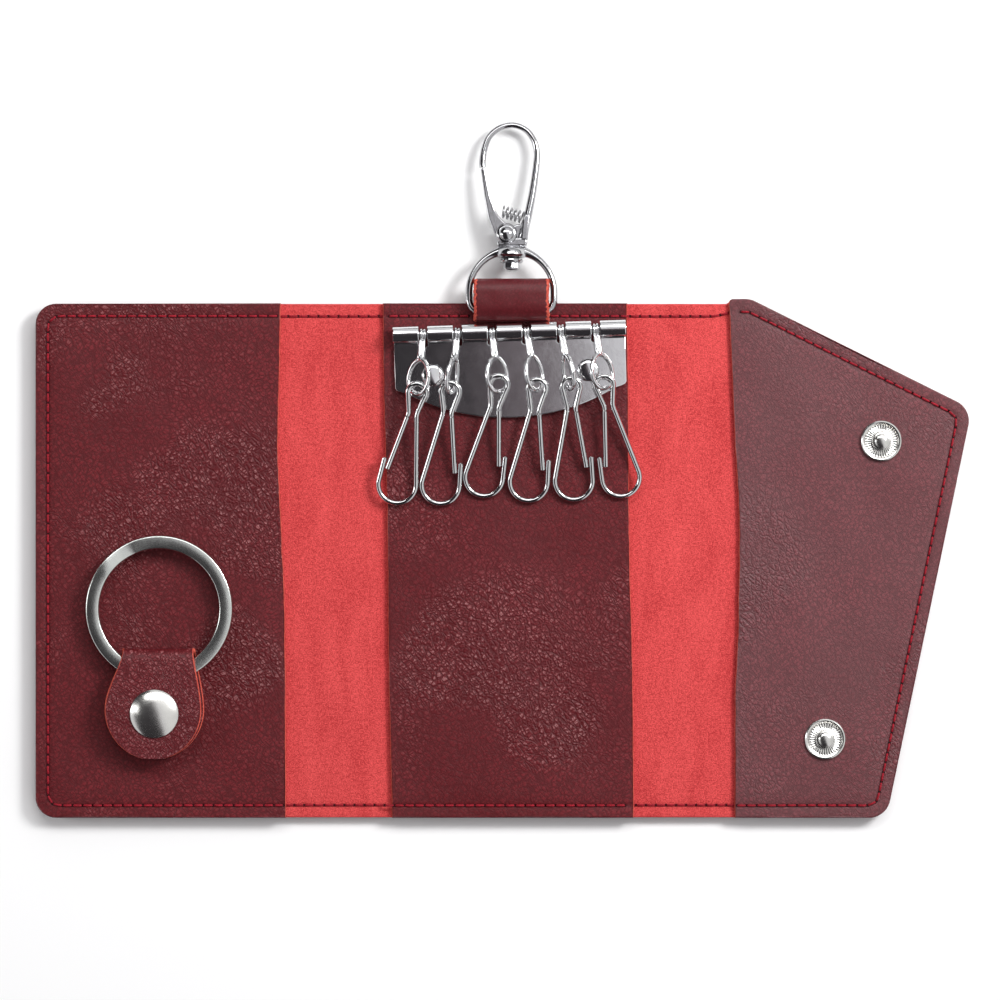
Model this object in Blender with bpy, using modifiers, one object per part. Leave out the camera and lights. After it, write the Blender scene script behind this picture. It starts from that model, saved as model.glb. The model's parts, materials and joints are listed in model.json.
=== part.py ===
"""Tri-fold leather key organiser, lying open with its inside up.

A one-piece leather cover folds twice over the middle panel, which carries a row of six
key hooks. The left panel holds a split ring in a snap tab, the flap on the right closes
with two snaps, and a swivel clasp hangs on a strap at the top edge.

The frame: the origin is the centre of the middle panel's back face, +X to the right,
+Y towards the clasp and +Z out of the inside. Sizes below are in millimetres.
"""

import math

import bmesh
import bpy
from mathutils import Matrix, Vector

MM = 0.001
GAP = 0.3  # between pieces that touch on the real object

# Leather sheets
COVER = 1.2
LINER = 1.0
LINER_Z = COVER + GAP
SEAT_Z = LINER_Z + LINER + GAP  # where things lie on a liner
TOP, BOTTOM = 59.9, -60.0
LEFT = -110.2
CORNER = 4.8
LEFT_CREASES = (-29.5, -51.6)  # nearest and furthest fold line of the left spine
RIGHT_CREASES = (29.7, 51.9)
STRIPS = 3
CREASE_SLOT = 0.3
FLAP_TOP = 60.3
FLAP_PEAK = (108.2, 35.35)  # where the slanted edge meets the long one
FLAP_FOOT = (88.3, BOTTOM)
FLAP_CORNER = 5.0

# Snaps: flap studs, and the left panel's sockets that they meet when the case is closed
FLAP_SNAPS = {"upper": (87.0, 27.9), "lower": (73.9, -41.6)}
SNAP_POST_R = 1.7
SNAP_HOLE_R = 2.2

# Key row: rod, rolled knuckles and plate, turned a little in the panel
ROW_AT = (0.3, 53.25, SEAT_Z + 2.15)
ROW_TILT = 1.783
KNUCKLES = 7
PITCH = 8.037
KNUCKLE_LENGTH = 6.04
KNUCKLE_R = 2.12
KNUCKLE_BORE = 1.2
ROD_R = 0.85
PLATE_Z = (-KNUCKLE_R, -KNUCKLE_R + 0.7)
RIVETS = ((-18.05, -9.5), (18.1, -9.45))

# Hooks: eye twist, eye offset in mm, curl height below the rod, clip lean, side of the gate
HOOKS = (
    (55, -1.6, 13.5, -13.0, -1),
    (-65, -1.9, 13.5, -8.6, 1),
    (-55, 1.0, 12.2, -11.8, 1),
    (-55, 1.8, 13.4, -8.0, 1),
    (65, 1.7, 13.3, -1.2, 1),
    (-55, 1.4, 13.1, 9.5, -1),
)
EYE_RISE = 1.76
EYE_FOOT = 13.9
EYE_HALF = (2.9, 4.0)
EYE_WIRE = 0.5
CLIP_WIRE = 0.57
CLIP_TILT = 7.3
CURL_R = 2.1
WAIST = (0.95, -5.0)
LOOP_AT = (0.4, -22.0)
LOOP_R = 4.4
GATE_END = (3.04, -18.0)

# Split ring and its tab
RING_AT = (-81.15, -11.2)
RING_R = (14.0, 17.05)
RING_Z = (4.3, 6.6)
RING_END_DEG = 115
TAB_X = (-89.7, -72.8)
TAB_FOLD_Y = -20.5
TAB_LOBE = (-82.4, -34.7, 11.6)
TAB_SNAP = (-82.1, -35.5)
TAB_Z = (SEAT_Z, 4.0, 6.9, 8.0)  # lower layer, then upper layer

# Clasp: strap, D-ring, swivel and lobster hook
STRAP_X = (-7.6, 9.2)
BAR_AT = (0.8, 57.9, 5.1)
CLASP_DROOP = 5.0
DRING_WIRE = 0.7
DRING_R = 9.9
DRING_ARC_Y = 4.6
SHANK_R = 1.0
PIVOT = (-1.13, 18.17)

# Colours and surfaces: colour, roughness, metallic
SURFACES = {
    "burgundy_leather": ((0.155, 0.016, 0.024), 0.42, 0.0),
    "coral_suede": ((0.78, 0.060, 0.068), 0.9, 0.0),
    "chrome": ((0.82, 0.82, 0.83), 0.1, 1.0),
    "nickel": ((0.66, 0.64, 0.60), 0.22, 1.0),
    "spring_steel": ((0.55, 0.55, 0.56), 0.28, 1.0),
}


def clear_scene():
    for obj in list(bpy.data.objects):
        bpy.data.objects.remove(obj, do_unlink=True)


def make_collection(name):
    collection = bpy.data.collections.new(name)
    bpy.context.scene.collection.children.link(collection)
    return collection


def make_material(name):
    colour, roughness, metallic = SURFACES[name]
    material = bpy.data.materials.new(name)
    material.use_nodes = True
    shader = material.node_tree.nodes["Principled BSDF"]
    shader.inputs["Base Color"].default_value = (*colour, 1.0)
    shader.inputs["Roughness"].default_value = roughness
    shader.inputs["Metallic"].default_value = metallic
    material.diffuse_color = (*colour, 1.0)
    return material


def place(obj, parent=None, at=(0, 0, 0), turn=(0, 0, 0)):
    """Puts an object at a place in mm and turns it in degrees, under its parent."""
    obj.parent = parent
    obj.location = Vector(at) * MM
    obj.rotation_euler = [math.radians(angle) for angle in turn]
    return obj


def frame_empty(name, at, turn=(0, 0, 0)):
    empty = bpy.data.objects.new(name, None)
    PARTS.objects.link(empty)
    return place(empty, at=at, turn=turn)


def part(name, mesh, surface, parent=None, at=(0, 0, 0), turn=(0, 0, 0)):
    """A sub-part: one named object with its own material slot."""
    mesh.name = name
    mesh.shade_smooth()
    mesh.set_sharp_from_angle(angle=math.radians(35))
    mesh.materials.append(MATERIALS[surface])
    obj = bpy.data.objects.new(name, mesh)
    PARTS.objects.link(obj)
    return place(obj, parent, at, turn)


def helper(mesh, parent=None, at=(0, 0, 0), turn=(0, 0, 0)):
    """A shape that only cuts or joins another."""
    obj = bpy.data.objects.new("cutter", mesh)
    CUTTERS.objects.link(obj)
    obj.hide_render = True
    obj.display_type = "WIRE"
    return place(obj, parent, at, turn)


def combine(obj, operation, others):
    for other in others:
        modifier = obj.modifiers.new(operation.title(), "BOOLEAN")
        modifier.operation = operation
        modifier.object = other
    return obj


def cut(obj, *others):
    return combine(obj, "DIFFERENCE", others)


def join(obj, *others):
    return combine(obj, "UNION", others)


def mesh_of_curve(data):
    """The mesh that a curve makes, with its caps welded on."""
    curve = bpy.data.objects.new("curve", data)
    bpy.context.scene.collection.objects.link(curve)
    evaluated = curve.evaluated_get(bpy.context.evaluated_depsgraph_get())
    mesh = bpy.data.meshes.new_from_object(evaluated)
    bpy.data.objects.remove(curve, do_unlink=True)
    work = bmesh.new()
    work.from_mesh(mesh)
    bmesh.ops.remove_doubles(work, verts=work.verts, dist=0.001 * MM)
    bmesh.ops.recalc_face_normals(work, faces=work.faces)
    work.to_mesh(mesh)
    work.free()
    mesh.materials.clear()
    return mesh


def add_spline(data, points, closed, radii=None):
    spline = data.splines.new("POLY")
    spline.points.add(len(points) - 1)
    for index, point in enumerate(points):
        spline.points[index].co = (*(Vector(point).to_3d() * MM), 1.0)
        spline.points[index].radius = radii[index] if radii else 1.0
    spline.use_cyclic_u = closed


def slab(outline, low, high):
    """A flat outline with a thickness, from z = low to z = high."""
    data = bpy.data.curves.new("outline", "CURVE")
    data.dimensions = "2D"
    data.fill_mode = "BOTH"
    data.extrude = (high - low) / 2 * MM
    add_spline(data, outline, closed=True)
    mesh = mesh_of_curve(data)
    mesh.transform(Matrix.Translation((0, 0, (low + high) / 2 * MM)))
    return mesh


def wire(points, radius, closed=False, radii=None, sides=2):
    data = bpy.data.curves.new("wire", "CURVE")
    data.dimensions = "3D"
    data.bevel_depth = radius * MM
    data.bevel_resolution = sides
    data.use_fill_caps = not closed
    add_spline(data, points, closed, radii)
    return mesh_of_curve(data)


def cylinder(radius, low, high, steps=16):
    """A cylinder along Z."""
    mesh = bpy.data.meshes.new("cylinder")
    work = bmesh.new()
    middle = Matrix.Translation((0, 0, (low + high) / 2 * MM))
    bmesh.ops.create_cone(
        work,
        cap_ends=True,
        segments=steps,
        radius1=radius * MM,
        radius2=radius * MM,
        depth=(high - low) * MM,
        matrix=middle,
    )
    work.to_mesh(mesh)
    work.free()
    return mesh


def box(low, high):
    mesh = bpy.data.meshes.new("box")
    size = [(b - a) * MM for a, b in zip(low, high)]
    centre = [(a + b) / 2 * MM for a, b in zip(low, high)]
    work = bmesh.new()
    bmesh.ops.create_cube(work, size=1.0)
    bmesh.ops.transform(work, matrix=Matrix.Diagonal((*size, 1.0)), verts=work.verts)
    bmesh.ops.transform(work, matrix=Matrix.Translation(centre), verts=work.verts)
    work.to_mesh(mesh)
    work.free()
    return mesh


def profile_mesh(profile, closed):
    """(radius, height) points at +X, for a Screw around Z."""
    mesh = bpy.data.meshes.new("profile")
    points = [(radius * MM, 0, height * MM) for radius, height in profile]
    edges = [(i, i + 1) for i in range(len(points) - 1)]
    if closed:
        edges.append((len(points) - 1, 0))
    mesh.from_pydata(points, edges, [])
    return mesh


def spin(obj, steps):
    screw = obj.modifiers.new("Screw", "SCREW")
    screw.steps = steps
    screw.render_steps = steps
    screw.use_merge_vertices = True
    screw.merge_threshold = 0.00001
    screw.use_smooth_shade = True
    return obj


def turned(name, profile, surface, steps=16, closed=False, **where):
    """A turned piece: the profile runs down its outer side, and round to its start if closed."""
    obj = part(name, profile_mesh(profile, closed), surface, **where)
    return spin(obj, steps)


def arc(centre, radius, start, end, steps):
    """Points round a circle from one angle to another, in degrees."""
    angles = [math.radians(start + (end - start) * i / steps) for i in range(steps + 1)]
    return [(centre[0] + radius * math.cos(a), centre[1] + radius * math.sin(a)) for a in angles]


def rounded(corners, steps=5):
    """An outline from (x, y, radius) corners."""
    outline = []
    for index, (x, y, radius) in enumerate(corners):
        here = Vector((x, y))
        if radius == 0:
            outline.append((x, y))
            continue
        before = (Vector(corners[index - 1][:2]) - here).normalized()
        after = (Vector(corners[(index + 1) % len(corners)][:2]) - here).normalized()
        half = before.angle(after) / 2
        centre = here + (before + after).normalized() * (radius / math.sin(half))
        start = here + before * (radius / math.tan(half)) - centre
        sweep = start.angle_signed(here + after * (radius / math.tan(half)) - centre)
        for step in range(steps + 1):
            turn = Matrix.Rotation(-sweep * step / steps, 2)
            outline.append(tuple(centre + turn @ start))
    return outline


def smooth(points, steps):
    """A Catmull-Rom curve through points of any dimension, ends included."""
    rows = [list(points[0])] + [list(p) for p in points] + [list(points[-1])]
    curve = []
    for a, b, c, d in zip(rows, rows[1:], rows[2:], rows[3:]):
        for step in range(steps):
            t = step / steps
            weights = (
                -t / 2 + t * t - t**3 / 2,
                1 - 2.5 * t * t + 1.5 * t**3,
                t / 2 + 2 * t * t - 1.5 * t**3,
                -t * t / 2 + t**3 / 2,
            )
            curve.append([sum(w * v for w, v in zip(weights, column)) for column in zip(a, b, c, d)])
    curve.append(rows[-1])
    return curve


def socket_place(name):
    """Where a flap stud lands on the left panel, both folded: two turns about the creases."""
    x, y = FLAP_SNAPS[name]
    closed_x = sum(RIGHT_CREASES) - x
    return sum(LEFT_CREASES) - closed_x, y


def make_spines():
    """Each spine is one sheet that bends; here it is three strips with creases between."""
    for side, creases in (("left", LEFT_CREASES), ("right", RIGHT_CREASES)):
        step = (creases[1] - creases[0]) / STRIPS
        for index, place_name in enumerate(("inner", "middle", "outer")):
            ends = (creases[0] + index * step, creases[0] + (index + 1) * step)
            low, high = min(ends) + CREASE_SLOT / 2, max(ends) - CREASE_SLOT / 2
            corners = [(low, BOTTOM), (high, BOTTOM), (high, TOP), (low, TOP)]
            part(f"{side}_spine_{place_name}", slab(corners, 0, COVER), "coral_suede")


def make_left_panel():
    edge = LEFT_CREASES[1] - CREASE_SLOT / 2
    corners = [(LEFT, TOP, CORNER), (LEFT, BOTTOM, CORNER), (edge, BOTTOM, 0), (edge, TOP, 0)]
    cover = part("outer_cover_left", slab(rounded(corners), 0, COVER), "burgundy_leather")
    for name in FLAP_SNAPS:
        at = (*socket_place(name), 0)
        cut(cover, helper(cylinder(3.5, -1, COVER + 1), at=at))
        cut(cover, helper(cylinder(4.9, 0.35, COVER + 1), at=at))
    cut(cover, helper(cylinder(3.6, 0.45, COVER + 1), at=(*TAB_SNAP, 0)))
    corners = [(LEFT, TOP, CORNER), (LEFT, BOTTOM, CORNER), (-51.9, BOTTOM, 0), (-53.5, TOP, 0)]
    liner = part(
        "left_pocket_liner",
        slab(rounded(corners), LINER_Z, LINER_Z + LINER),
        "burgundy_leather",
    )
    cut(liner, helper(cylinder(1.4, 0, 4), at=(*TAB_SNAP, 0)))


def make_middle_panel():
    low, high = LEFT_CREASES[0] + CREASE_SLOT / 2, RIGHT_CREASES[0] - CREASE_SLOT / 2
    corners = [(low, BOTTOM), (high, BOTTOM), (high, TOP), (low, TOP)]
    cover = part("outer_cover_middle", slab(corners, 0, COVER), "burgundy_leather")
    corners = [(-27.1, BOTTOM), (29.4, BOTTOM), (27.8, TOP), (-29.2, TOP)]
    liner = part(
        "middle_liner", slab(corners, LINER_Z, LINER_Z + LINER), "burgundy_leather"
    )
    for x, y in RIVETS:
        cut(cover, helper(cylinder(3.2, 0.5, 4), ROW, (x, y, -ROW_AT[2])))
        cut(liner, helper(cylinder(1.1, 0, 4), ROW, (x, y, -ROW_AT[2])))


def flap_outline(edge_top, edge_foot):
    corners = [
        (edge_top, FLAP_TOP, 1.5),
        (edge_foot, BOTTOM, 0),
        (*FLAP_FOOT, FLAP_CORNER),
        (*FLAP_PEAK, FLAP_CORNER),
    ]
    return rounded(corners)


def make_flap():
    edge = RIGHT_CREASES[1] + CREASE_SLOT / 2
    cover = part(
        "outer_cover_flap", slab(flap_outline(edge, edge), 0, COVER), "burgundy_leather"
    )
    liner = part(
        "flap_liner",
        slab(flap_outline(52.25, 52.6), LINER_Z, LINER_Z + LINER),
        "burgundy_leather",
    )
    for at in FLAP_SNAPS.values():
        cut(cover, helper(cylinder(1.5, -1, 4), at=(*at, 0)))
        cut(liner, helper(cylinder(1.5, 0, 4), at=(*at, 0)))


def stud_profile(base_z, base_r, post_top, bore_r, bore_top):
    """A male snap: a rimmed flange, a stepped post with a swollen tip, hollow underneath."""
    return [
        (0, post_top),
        (SNAP_POST_R - 0.5, post_top),
        (SNAP_POST_R, post_top - 0.45),
        (SNAP_POST_R - 0.2, post_top - 1.1),
        (SNAP_POST_R + 0.3, base_z + 0.75),
        (base_r - 1.0, base_z + 0.45),
        (base_r - 0.5, base_z + 0.65),
        (base_r, base_z + 0.3),
        (base_r, base_z),
        (bore_r, base_z),
        (bore_r, bore_top),
        (0, bore_top),
    ]


def make_flap_snaps():
    for name, (x, y) in FLAP_SNAPS.items():
        profile = stud_profile(SEAT_Z, 4.74, 5.4, 1.5, 3.7)
        turned(f"flap_snap_stud_{name}", profile, "nickel", at=(x, y, 0))
        cap = [
            (0, 3.4),
            (1.2, 3.4),
            (1.2, -GAP),
            (4.6, -GAP),
            (4.9, -0.6),
            (3.6, -1.0),
            (0, -1.1),
        ]
        turned(f"flap_snap_cap_{name}", cap, "nickel", at=(x, y, 0))


def make_cover_sockets():
    """Female snaps on the left panel's outer face, which is underneath while the case is open."""
    for name in FLAP_SNAPS:
        x, y = socket_place(name)
        socket = [
            (0, 1.05),
            (3.2, 1.05),
            (3.2, -GAP),
            (5.2, -GAP),
            (5.5, -0.7),
            (4.8, -1.6),
            (SNAP_HOLE_R + 0.5, -1.6),
            (SNAP_HOLE_R, -1.3),
            (SNAP_HOLE_R, 0.5),
            (0, 0.5),
        ]
        turned(f"cover_snap_socket_{name}", socket, "nickel", at=(x, y, 0))
        eyelet = [(4.6, 1.2), (4.6, 0.65), (3.5, 0.65), (3.5, 1.2)]
        turned(f"cover_snap_eyelet_{name}", eyelet, "nickel", closed=True, at=(x, y, 0))


def knuckle_place(index):
    return (index - (KNUCKLES - 1) / 2) * PITCH


def make_key_row():
    """Plate with seven rolled knuckles, the rod through them, and the two rivets."""
    half = 27.0
    foot = arc((0, 30.2), 50.2, -119.2, -60.8, 12)
    outline = [(-half, -12.4), (-25.6, -13.3), *foot, (25.6, -13.3), (half, -12.4)]
    outline += [(half, -0.3), (-half, -0.3)]
    plate = part("key_plate", slab(outline, *PLATE_Z), "chrome", ROW)
    for index in range(KNUCKLES - 1):
        x = knuckle_place(index + 0.5)
        slot = (PITCH - KNUCKLE_LENGTH) / 2
        cut(plate, helper(box((x - slot, -3.0, -4), (x + slot, 2, 2)), ROW))
    for index in range(KNUCKLES):
        half_length = KNUCKLE_LENGTH / 2
        barrel = cylinder(KNUCKLE_R, -half_length, half_length)
        join(plate, helper(barrel, ROW, (knuckle_place(index), 0, 0), (0, 90, 0)))
    bore = cylinder(KNUCKLE_BORE, -half - 2, half + 2, 12)
    cut(plate, helper(bore, ROW, turn=(0, 90, 0)))
    part("key_rod", cylinder(ROD_R, -half + 0.6, half - 0.6, 12), "chrome", ROW, turn=(0, 90, 0))
    for name, (x, y) in zip(("left", "right"), RIVETS):
        cut(plate, helper(cylinder(1.1, -4, 2), ROW, (x, y, 0)))
        top = PLATE_Z[1] + GAP
        foot = 0.8 - ROW_AT[2]
        rivet = [
            (0, top + 0.8),
            (1.0, top + 0.72),
            (2.0, top + 0.4),
            (2.6, top + 0.1),
            (2.6, top),
            (0.8, top),
            (0.8, foot),
            (0, foot),
        ]
        turned(f"plate_rivet_{name}", rivet, "chrome", 16, parent=ROW, at=(x, y, 0))
        low = 0.75 - ROW_AT[2]
        washer = [(2.9, low + 0.45), (2.9, low), (1.1, low), (1.1, low + 0.45)]
        turned(f"rivet_washer_{name}", washer, "nickel", 16, True, parent=ROW, at=(x, y, 0))


def make_hanger(name, twist, lean, x):
    """A loop round the rod, a short stem, and an eye turned out of the row's plane."""
    ring = [(2.0, 0.7), (2.0, -0.7), (1.15, -0.7), (1.15, 0.7)]
    hanger = part(name, profile_mesh(ring, True), "chrome", ROW, (x, 0, 0))
    hanger.data.transform(Matrix.Rotation(math.radians(90), 4, "Y"))
    screw = spin(hanger, 12).modifiers["Screw"]
    screw.axis = "X"
    direction = Vector((math.sin(lean), -math.cos(lean), 0))
    head = EYE_FOOT - 2 * EYE_HALF[1]
    stem = [direction * 1.45, direction * head + Vector((0, 0, EYE_RISE))]
    join(hanger, helper(wire(stem, 0.62, sides=1), ROW, (x, 0, 0)))
    sideways = Vector((math.cos(lean), math.sin(lean), 0)) * math.cos(twist)
    sideways += Vector((0, 0, math.sin(twist)))
    centre = direction * (EYE_FOOT - EYE_HALF[1]) + Vector((0, 0, EYE_RISE))
    count = 18
    angles = [2 * math.pi * i / count for i in range(count)]
    eye = [
        centre + sideways * EYE_HALF[0] * math.sin(a) - direction * EYE_HALF[1] * math.cos(a)
        for a in angles
    ]
    join(hanger, helper(wire(eye, EYE_WIRE, closed=True, sides=1), ROW, (x, 0, 0)))
    return hanger


def make_clip(number, hanger, twist_side, at, lean):
    """A spring-wire clip: curl, waist, long leg and loop, and the gate leg as its own piece."""
    turn = (CLIP_TILT, 0, lean)
    flip = Matrix.Diagonal((twist_side, 1, 1, 1))
    curl = arc((0, 0), CURL_R, -25, 205, 10)
    loop = arc(LOOP_AT, LOOP_R, 168, 358, 10)
    path = [WAIST, *curl, (-WAIST[0], WAIST[1]), *loop, (4.55, -16.6)]
    mesh = wire(path, CLIP_WIRE, sides=1)
    gate = [(0.05, -GAP), (GATE_END[0] - WAIST[0], GATE_END[1] - WAIST[1])]
    gate_mesh = wire(gate, CLIP_WIRE, sides=1)
    for shape in (mesh, gate_mesh):
        shape.transform(flip)
        if twist_side < 0:
            shape.flip_normals()
    clip = part(f"key_clip_{number}", mesh, "chrome", hanger, at, turn)
    waist = (WAIST[0] * twist_side, WAIST[1], 0)
    part(f"key_clip_gate_{number}", gate_mesh, "chrome", clip, waist)


def make_hooks():
    for index, (twist, offset, drop, clip_lean, side) in enumerate(HOOKS):
        lean = math.atan2(offset, 12.0)
        x = knuckle_place(index + 0.5)
        name = f"hook_hanger_{index + 1}"
        hanger = make_hanger(name, math.radians(twist), lean, x)
        at = (EYE_FOOT * math.sin(lean), -drop, EYE_RISE)
        make_clip(index + 1, hanger, side, at, clip_lean)


def tab_outline():
    x, y, radius = TAB_LOBE
    lobe = arc((x, y), radius, 172, 368, 20)
    return [(TAB_X[1], TAB_FOLD_Y), (TAB_X[0], TAB_FOLD_Y), *lobe]


def make_tab():
    """The tab's strap is folded over the ring: a fixed lower layer and a snap-down upper one."""
    lower = part("ring_tab_base", slab(tab_outline(), *TAB_Z[:2]), "burgundy_leather")
    upper = part("ring_tab_flap", slab(tab_outline(), *TAB_Z[2:]), "burgundy_leather")
    fold = TAB_FOLD_Y - 1.2
    middle = (TAB_Z[0] + TAB_Z[3]) / 2
    wall = box((TAB_X[0], fold, TAB_Z[0]), (TAB_X[1], TAB_FOLD_Y, middle - GAP / 2))
    join(lower, helper(wall))
    wall = box((TAB_X[0], fold, middle + GAP / 2), (TAB_X[1], TAB_FOLD_Y, TAB_Z[3]))
    join(upper, helper(wall))
    cut(lower, helper(cylinder(1.4, 2, 5), at=(*TAB_SNAP, 0)))
    cut(upper, helper(cylinder(2.7, 6, 9), at=(*TAB_SNAP, 0)))


def make_tab_snap():
    at = (*TAB_SNAP, 0)
    cap = [
        (0, 9.7),
        (2.0, 9.55),
        (4.0, 9.1),
        (5.2, 8.65),
        (5.6, 8.4),
        (5.5, 8.3),
        (1.1, 8.3),
        (1.1, 7.1),
        (0, 7.1),
    ]
    turned("tab_snap_cap", cap, "nickel", 24, at=at)
    socket = [
        (2.4, 8.0),
        (2.4, 6.6),
        (4.5, 6.6),
        (4.8, 6.2),
        (4.5, 5.1),
        (2.1, 5.1),
        (2.1, 6.7),
        (1.4, 6.9),
        (1.4, 8.0),
    ]
    turned("tab_snap_socket", socket, "nickel", closed=True, at=at)
    turned("tab_snap_stud", stud_profile(4.3, 4.2, 6.4, 1.4, 5.6), "nickel", at=at)
    post = [(0, 5.3), (1.1, 5.3), (1.1, 1.2), (3.2, 1.2), (3.2, 0.75), (0, 0.75)]
    turned("tab_snap_post", post, "nickel", at=at)


def make_split_ring():
    """Two flat turns of wire, shown by the groove between them, with the end's step cut in."""
    low, high = RING_Z
    inner, outer = RING_R
    middle = (low + high) / 2
    groove = 0.2
    profile = [
        (outer, high),
        (outer, middle + groove),
        (outer - groove, middle),
        (outer, middle - groove),
        (outer, low),
        (inner, low),
        (inner, high),
    ]
    ring = turned("split_ring", profile, "nickel", 40, True, at=(*RING_AT, 0))
    step = box((inner - 1, -0.35, high - 0.6), (outer + 1, 0.35, high + 1))
    cut(ring, helper(step, at=(*RING_AT, 0), turn=(0, 0, RING_END_DEG)))


def make_strap():
    """The strap's side view, drawn in y and z and extruded along x: a loop with a sewn end."""
    outer = [(56.0, 2.8), (63.2, 2.8), *arc((63.25, 5.15), 2.35, -80, 80, 8), (61.0, 7.5)]
    outer += [(58.5, 7.45), (56.5, 5.6), (56.0, 4.6)]
    inner = [(57.0, 3.75), (63.1, 3.75), *arc((63.2, 5.15), 1.35, -80, 80, 6), (60.8, 6.55)]
    inner += [(58.6, 6.5), (57.0, 5.6)]
    middle = (STRAP_X[0] + STRAP_X[1]) / 2
    half = (STRAP_X[1] - STRAP_X[0]) / 2
    # The side view stands up: its x becomes y, its y becomes z and its thickness lies along x.
    stand = (90, 0, 90)
    where = dict(at=(middle, 0, 0), turn=stand)
    strap = part("clasp_strap", slab(outer, -half, half), "burgundy_leather", **where)
    cut(strap, helper(slab(inner, -half - 1, half + 1), **where))


def make_d_ring():
    """The ring that hangs on the strap by its straight bar, with the swivel's collar on top."""
    corner = 2.8
    side = DRING_R - corner
    path = arc((0, DRING_ARC_Y), DRING_R, 0, 180, 16)
    path += arc((-side, corner), corner, 180, 270, 5)
    path += arc((side, corner), corner, 270, 360, 5)
    ring = part("swivel_ring", wire(path, DRING_WIRE, closed=True), "chrome", CLASP)
    collar = box((-4.5, 12.6, -1.5), (4.5, 15.0, 1.5))
    join(ring, helper(collar, CLASP))
    cut(ring, helper(cylinder(SHANK_R + GAP, -18, -10, 16), CLASP, turn=(90, 0, 0)))


def make_hook_body():
    arm = [
        (2.5, 15.8, 0.95),
        (2.7, 17.4, 0.95),
        (3.3, 20.4, 1.0),
        (3.8, 22.4, 0.95),
        (5.0, 28.6, 0.85),
        (5.8, 34.1, 0.8),
        (6.0, 37.4, 0.75),
        (5.2, 40.4, 0.72),
        (3.3, 42.8, 0.7),
        (0.4, 43.9, 0.7),
        (-2.8, 43.2, 0.7),
        (-5.2, 41.1, 0.7),
        (-6.4, 38.1, 0.75),
        (-6.75, 35.3, 0.75),
        (-6.65, 33.8, 0.7),
    ]
    curve = smooth(arm, 2)
    points = [(x, y, 0) for x, y, _ in curve]
    radii = [radius for _, _, radius in curve]
    body = part("hook_body", wire(points, 1.0, radii=radii), "chrome", CLASP)
    join(body, helper(box((-3.2, 15.3, -1.7), (3.3, 16.1, 1.7)), CLASP))
    corners = [(-2.7, 15.8), (3.4, 15.8), (4.0, 20.8), (2.2, 20.8), (-2.9, 19.4)]
    join(body, helper(slab(corners, -1.6, -0.5), CLASP))
    join(body, helper(cylinder(SHANK_R, -15.5, -9.9, 16), CLASP, turn=(90, 0, 0)))
    cut(body, helper(cylinder(1.1, -3, 3, 16), CLASP, (*PIVOT, 0)))


def make_swivel_button():
    bore = SHANK_R + GAP
    profile = [
        (2.7, 12.3),
        (2.7, 11.5),
        (1.95, 11.4),
        (1.95, 10.0),
        (1.6, 9.6),
        (bore, 9.6),
        (bore, 12.3),
    ]
    turned("swivel_button", profile, "chrome", 16, True, parent=CLASP, turn=(-90, 0, 0))


def make_hook_gate():
    pivot_x, pivot_y = PIVOT
    corners = [
        (-3.3, 16.6, 0.3),
        (-5.4, 21.6, 3.0),
        (-6.4, 26.7, 8.0),
        (-7.15, 33.3, 0.3),
        (-6.15, 33.3, 0.3),
        (-4.6, 27.0, 8.0),
        (-2.9, 22.3, 6.0),
        (-0.7, 20.0, 1.2),
    ]
    blade = [(x - pivot_x, y - pivot_y) for x, y in reversed(rounded(corners, 3))]
    outline = blade[:-1] + arc((0, 0), 1.9, -155, 60, 10)
    where = dict(parent=CLASP, at=(pivot_x, pivot_y, 0))
    gate = part("hook_gate", slab(outline, -0.2, 1.2), "chrome", **where)
    cut(gate, helper(cylinder(1.1, -3, 3, 16), **where))
    rivet = [
        (0, 2.4),
        (1.0, 2.25),
        (1.7, 1.8),
        (1.8, 1.5),
        (0.8, 1.5),
        (0.8, -1.9),
        (1.5, -1.9),
        (1.3, -2.4),
        (0, -2.4),
    ]
    turned("hook_rivet", rivet, "chrome", 16, **where)


def make_gate_spring():
    start, end = Vector((-1.9, 23.4, 0)), Vector((2.35, 22.0, 0))
    along = (end - start).normalized()
    across = Vector((-along.y, along.x, 0))
    turns, per_turn, radius = 5, 8, 1.2
    points = []
    for step in range(turns * per_turn + 1):
        angle = 2 * math.pi * step / per_turn
        centre = start.lerp(end, step / (turns * per_turn))
        swing = across * math.cos(angle) + Vector((0, 0, math.sin(angle)))
        points.append(centre + swing * radius)
    part("gate_spring", wire(points, 0.22, sides=1), "spring_steel", CLASP)


clear_scene()
PARTS = make_collection("key_organiser")
CUTTERS = make_collection("cutters")
MATERIALS = {name: make_material(name) for name in SURFACES}
ROW = frame_empty("key_row_frame", ROW_AT, (0, 0, ROW_TILT))
CLASP = frame_empty("clasp_frame", BAR_AT, (-CLASP_DROOP, 0, 0))

make_left_panel()
make_middle_panel()
make_flap()
make_spines()
make_flap_snaps()
make_cover_sockets()
make_key_row()
make_hooks()
make_split_ring()
make_tab()
make_tab_snap()
make_strap()
make_d_ring()
make_hook_body()
make_swivel_button()
make_hook_gate()
make_gate_spring()
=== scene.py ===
"""Looks of the tri-fold leather key organiser, lying open with its inside up.

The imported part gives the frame, the joints and the boxes of its nodes. Sizes in this file
are in millimetres, in the part's own frame: +X to the right, +Y towards the clasp and +Z
out of the inside of the open case.
"""

import json
import math
from collections import namedtuple

import bmesh
import bpy
from mathutils import Matrix, Vector, noise


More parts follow.
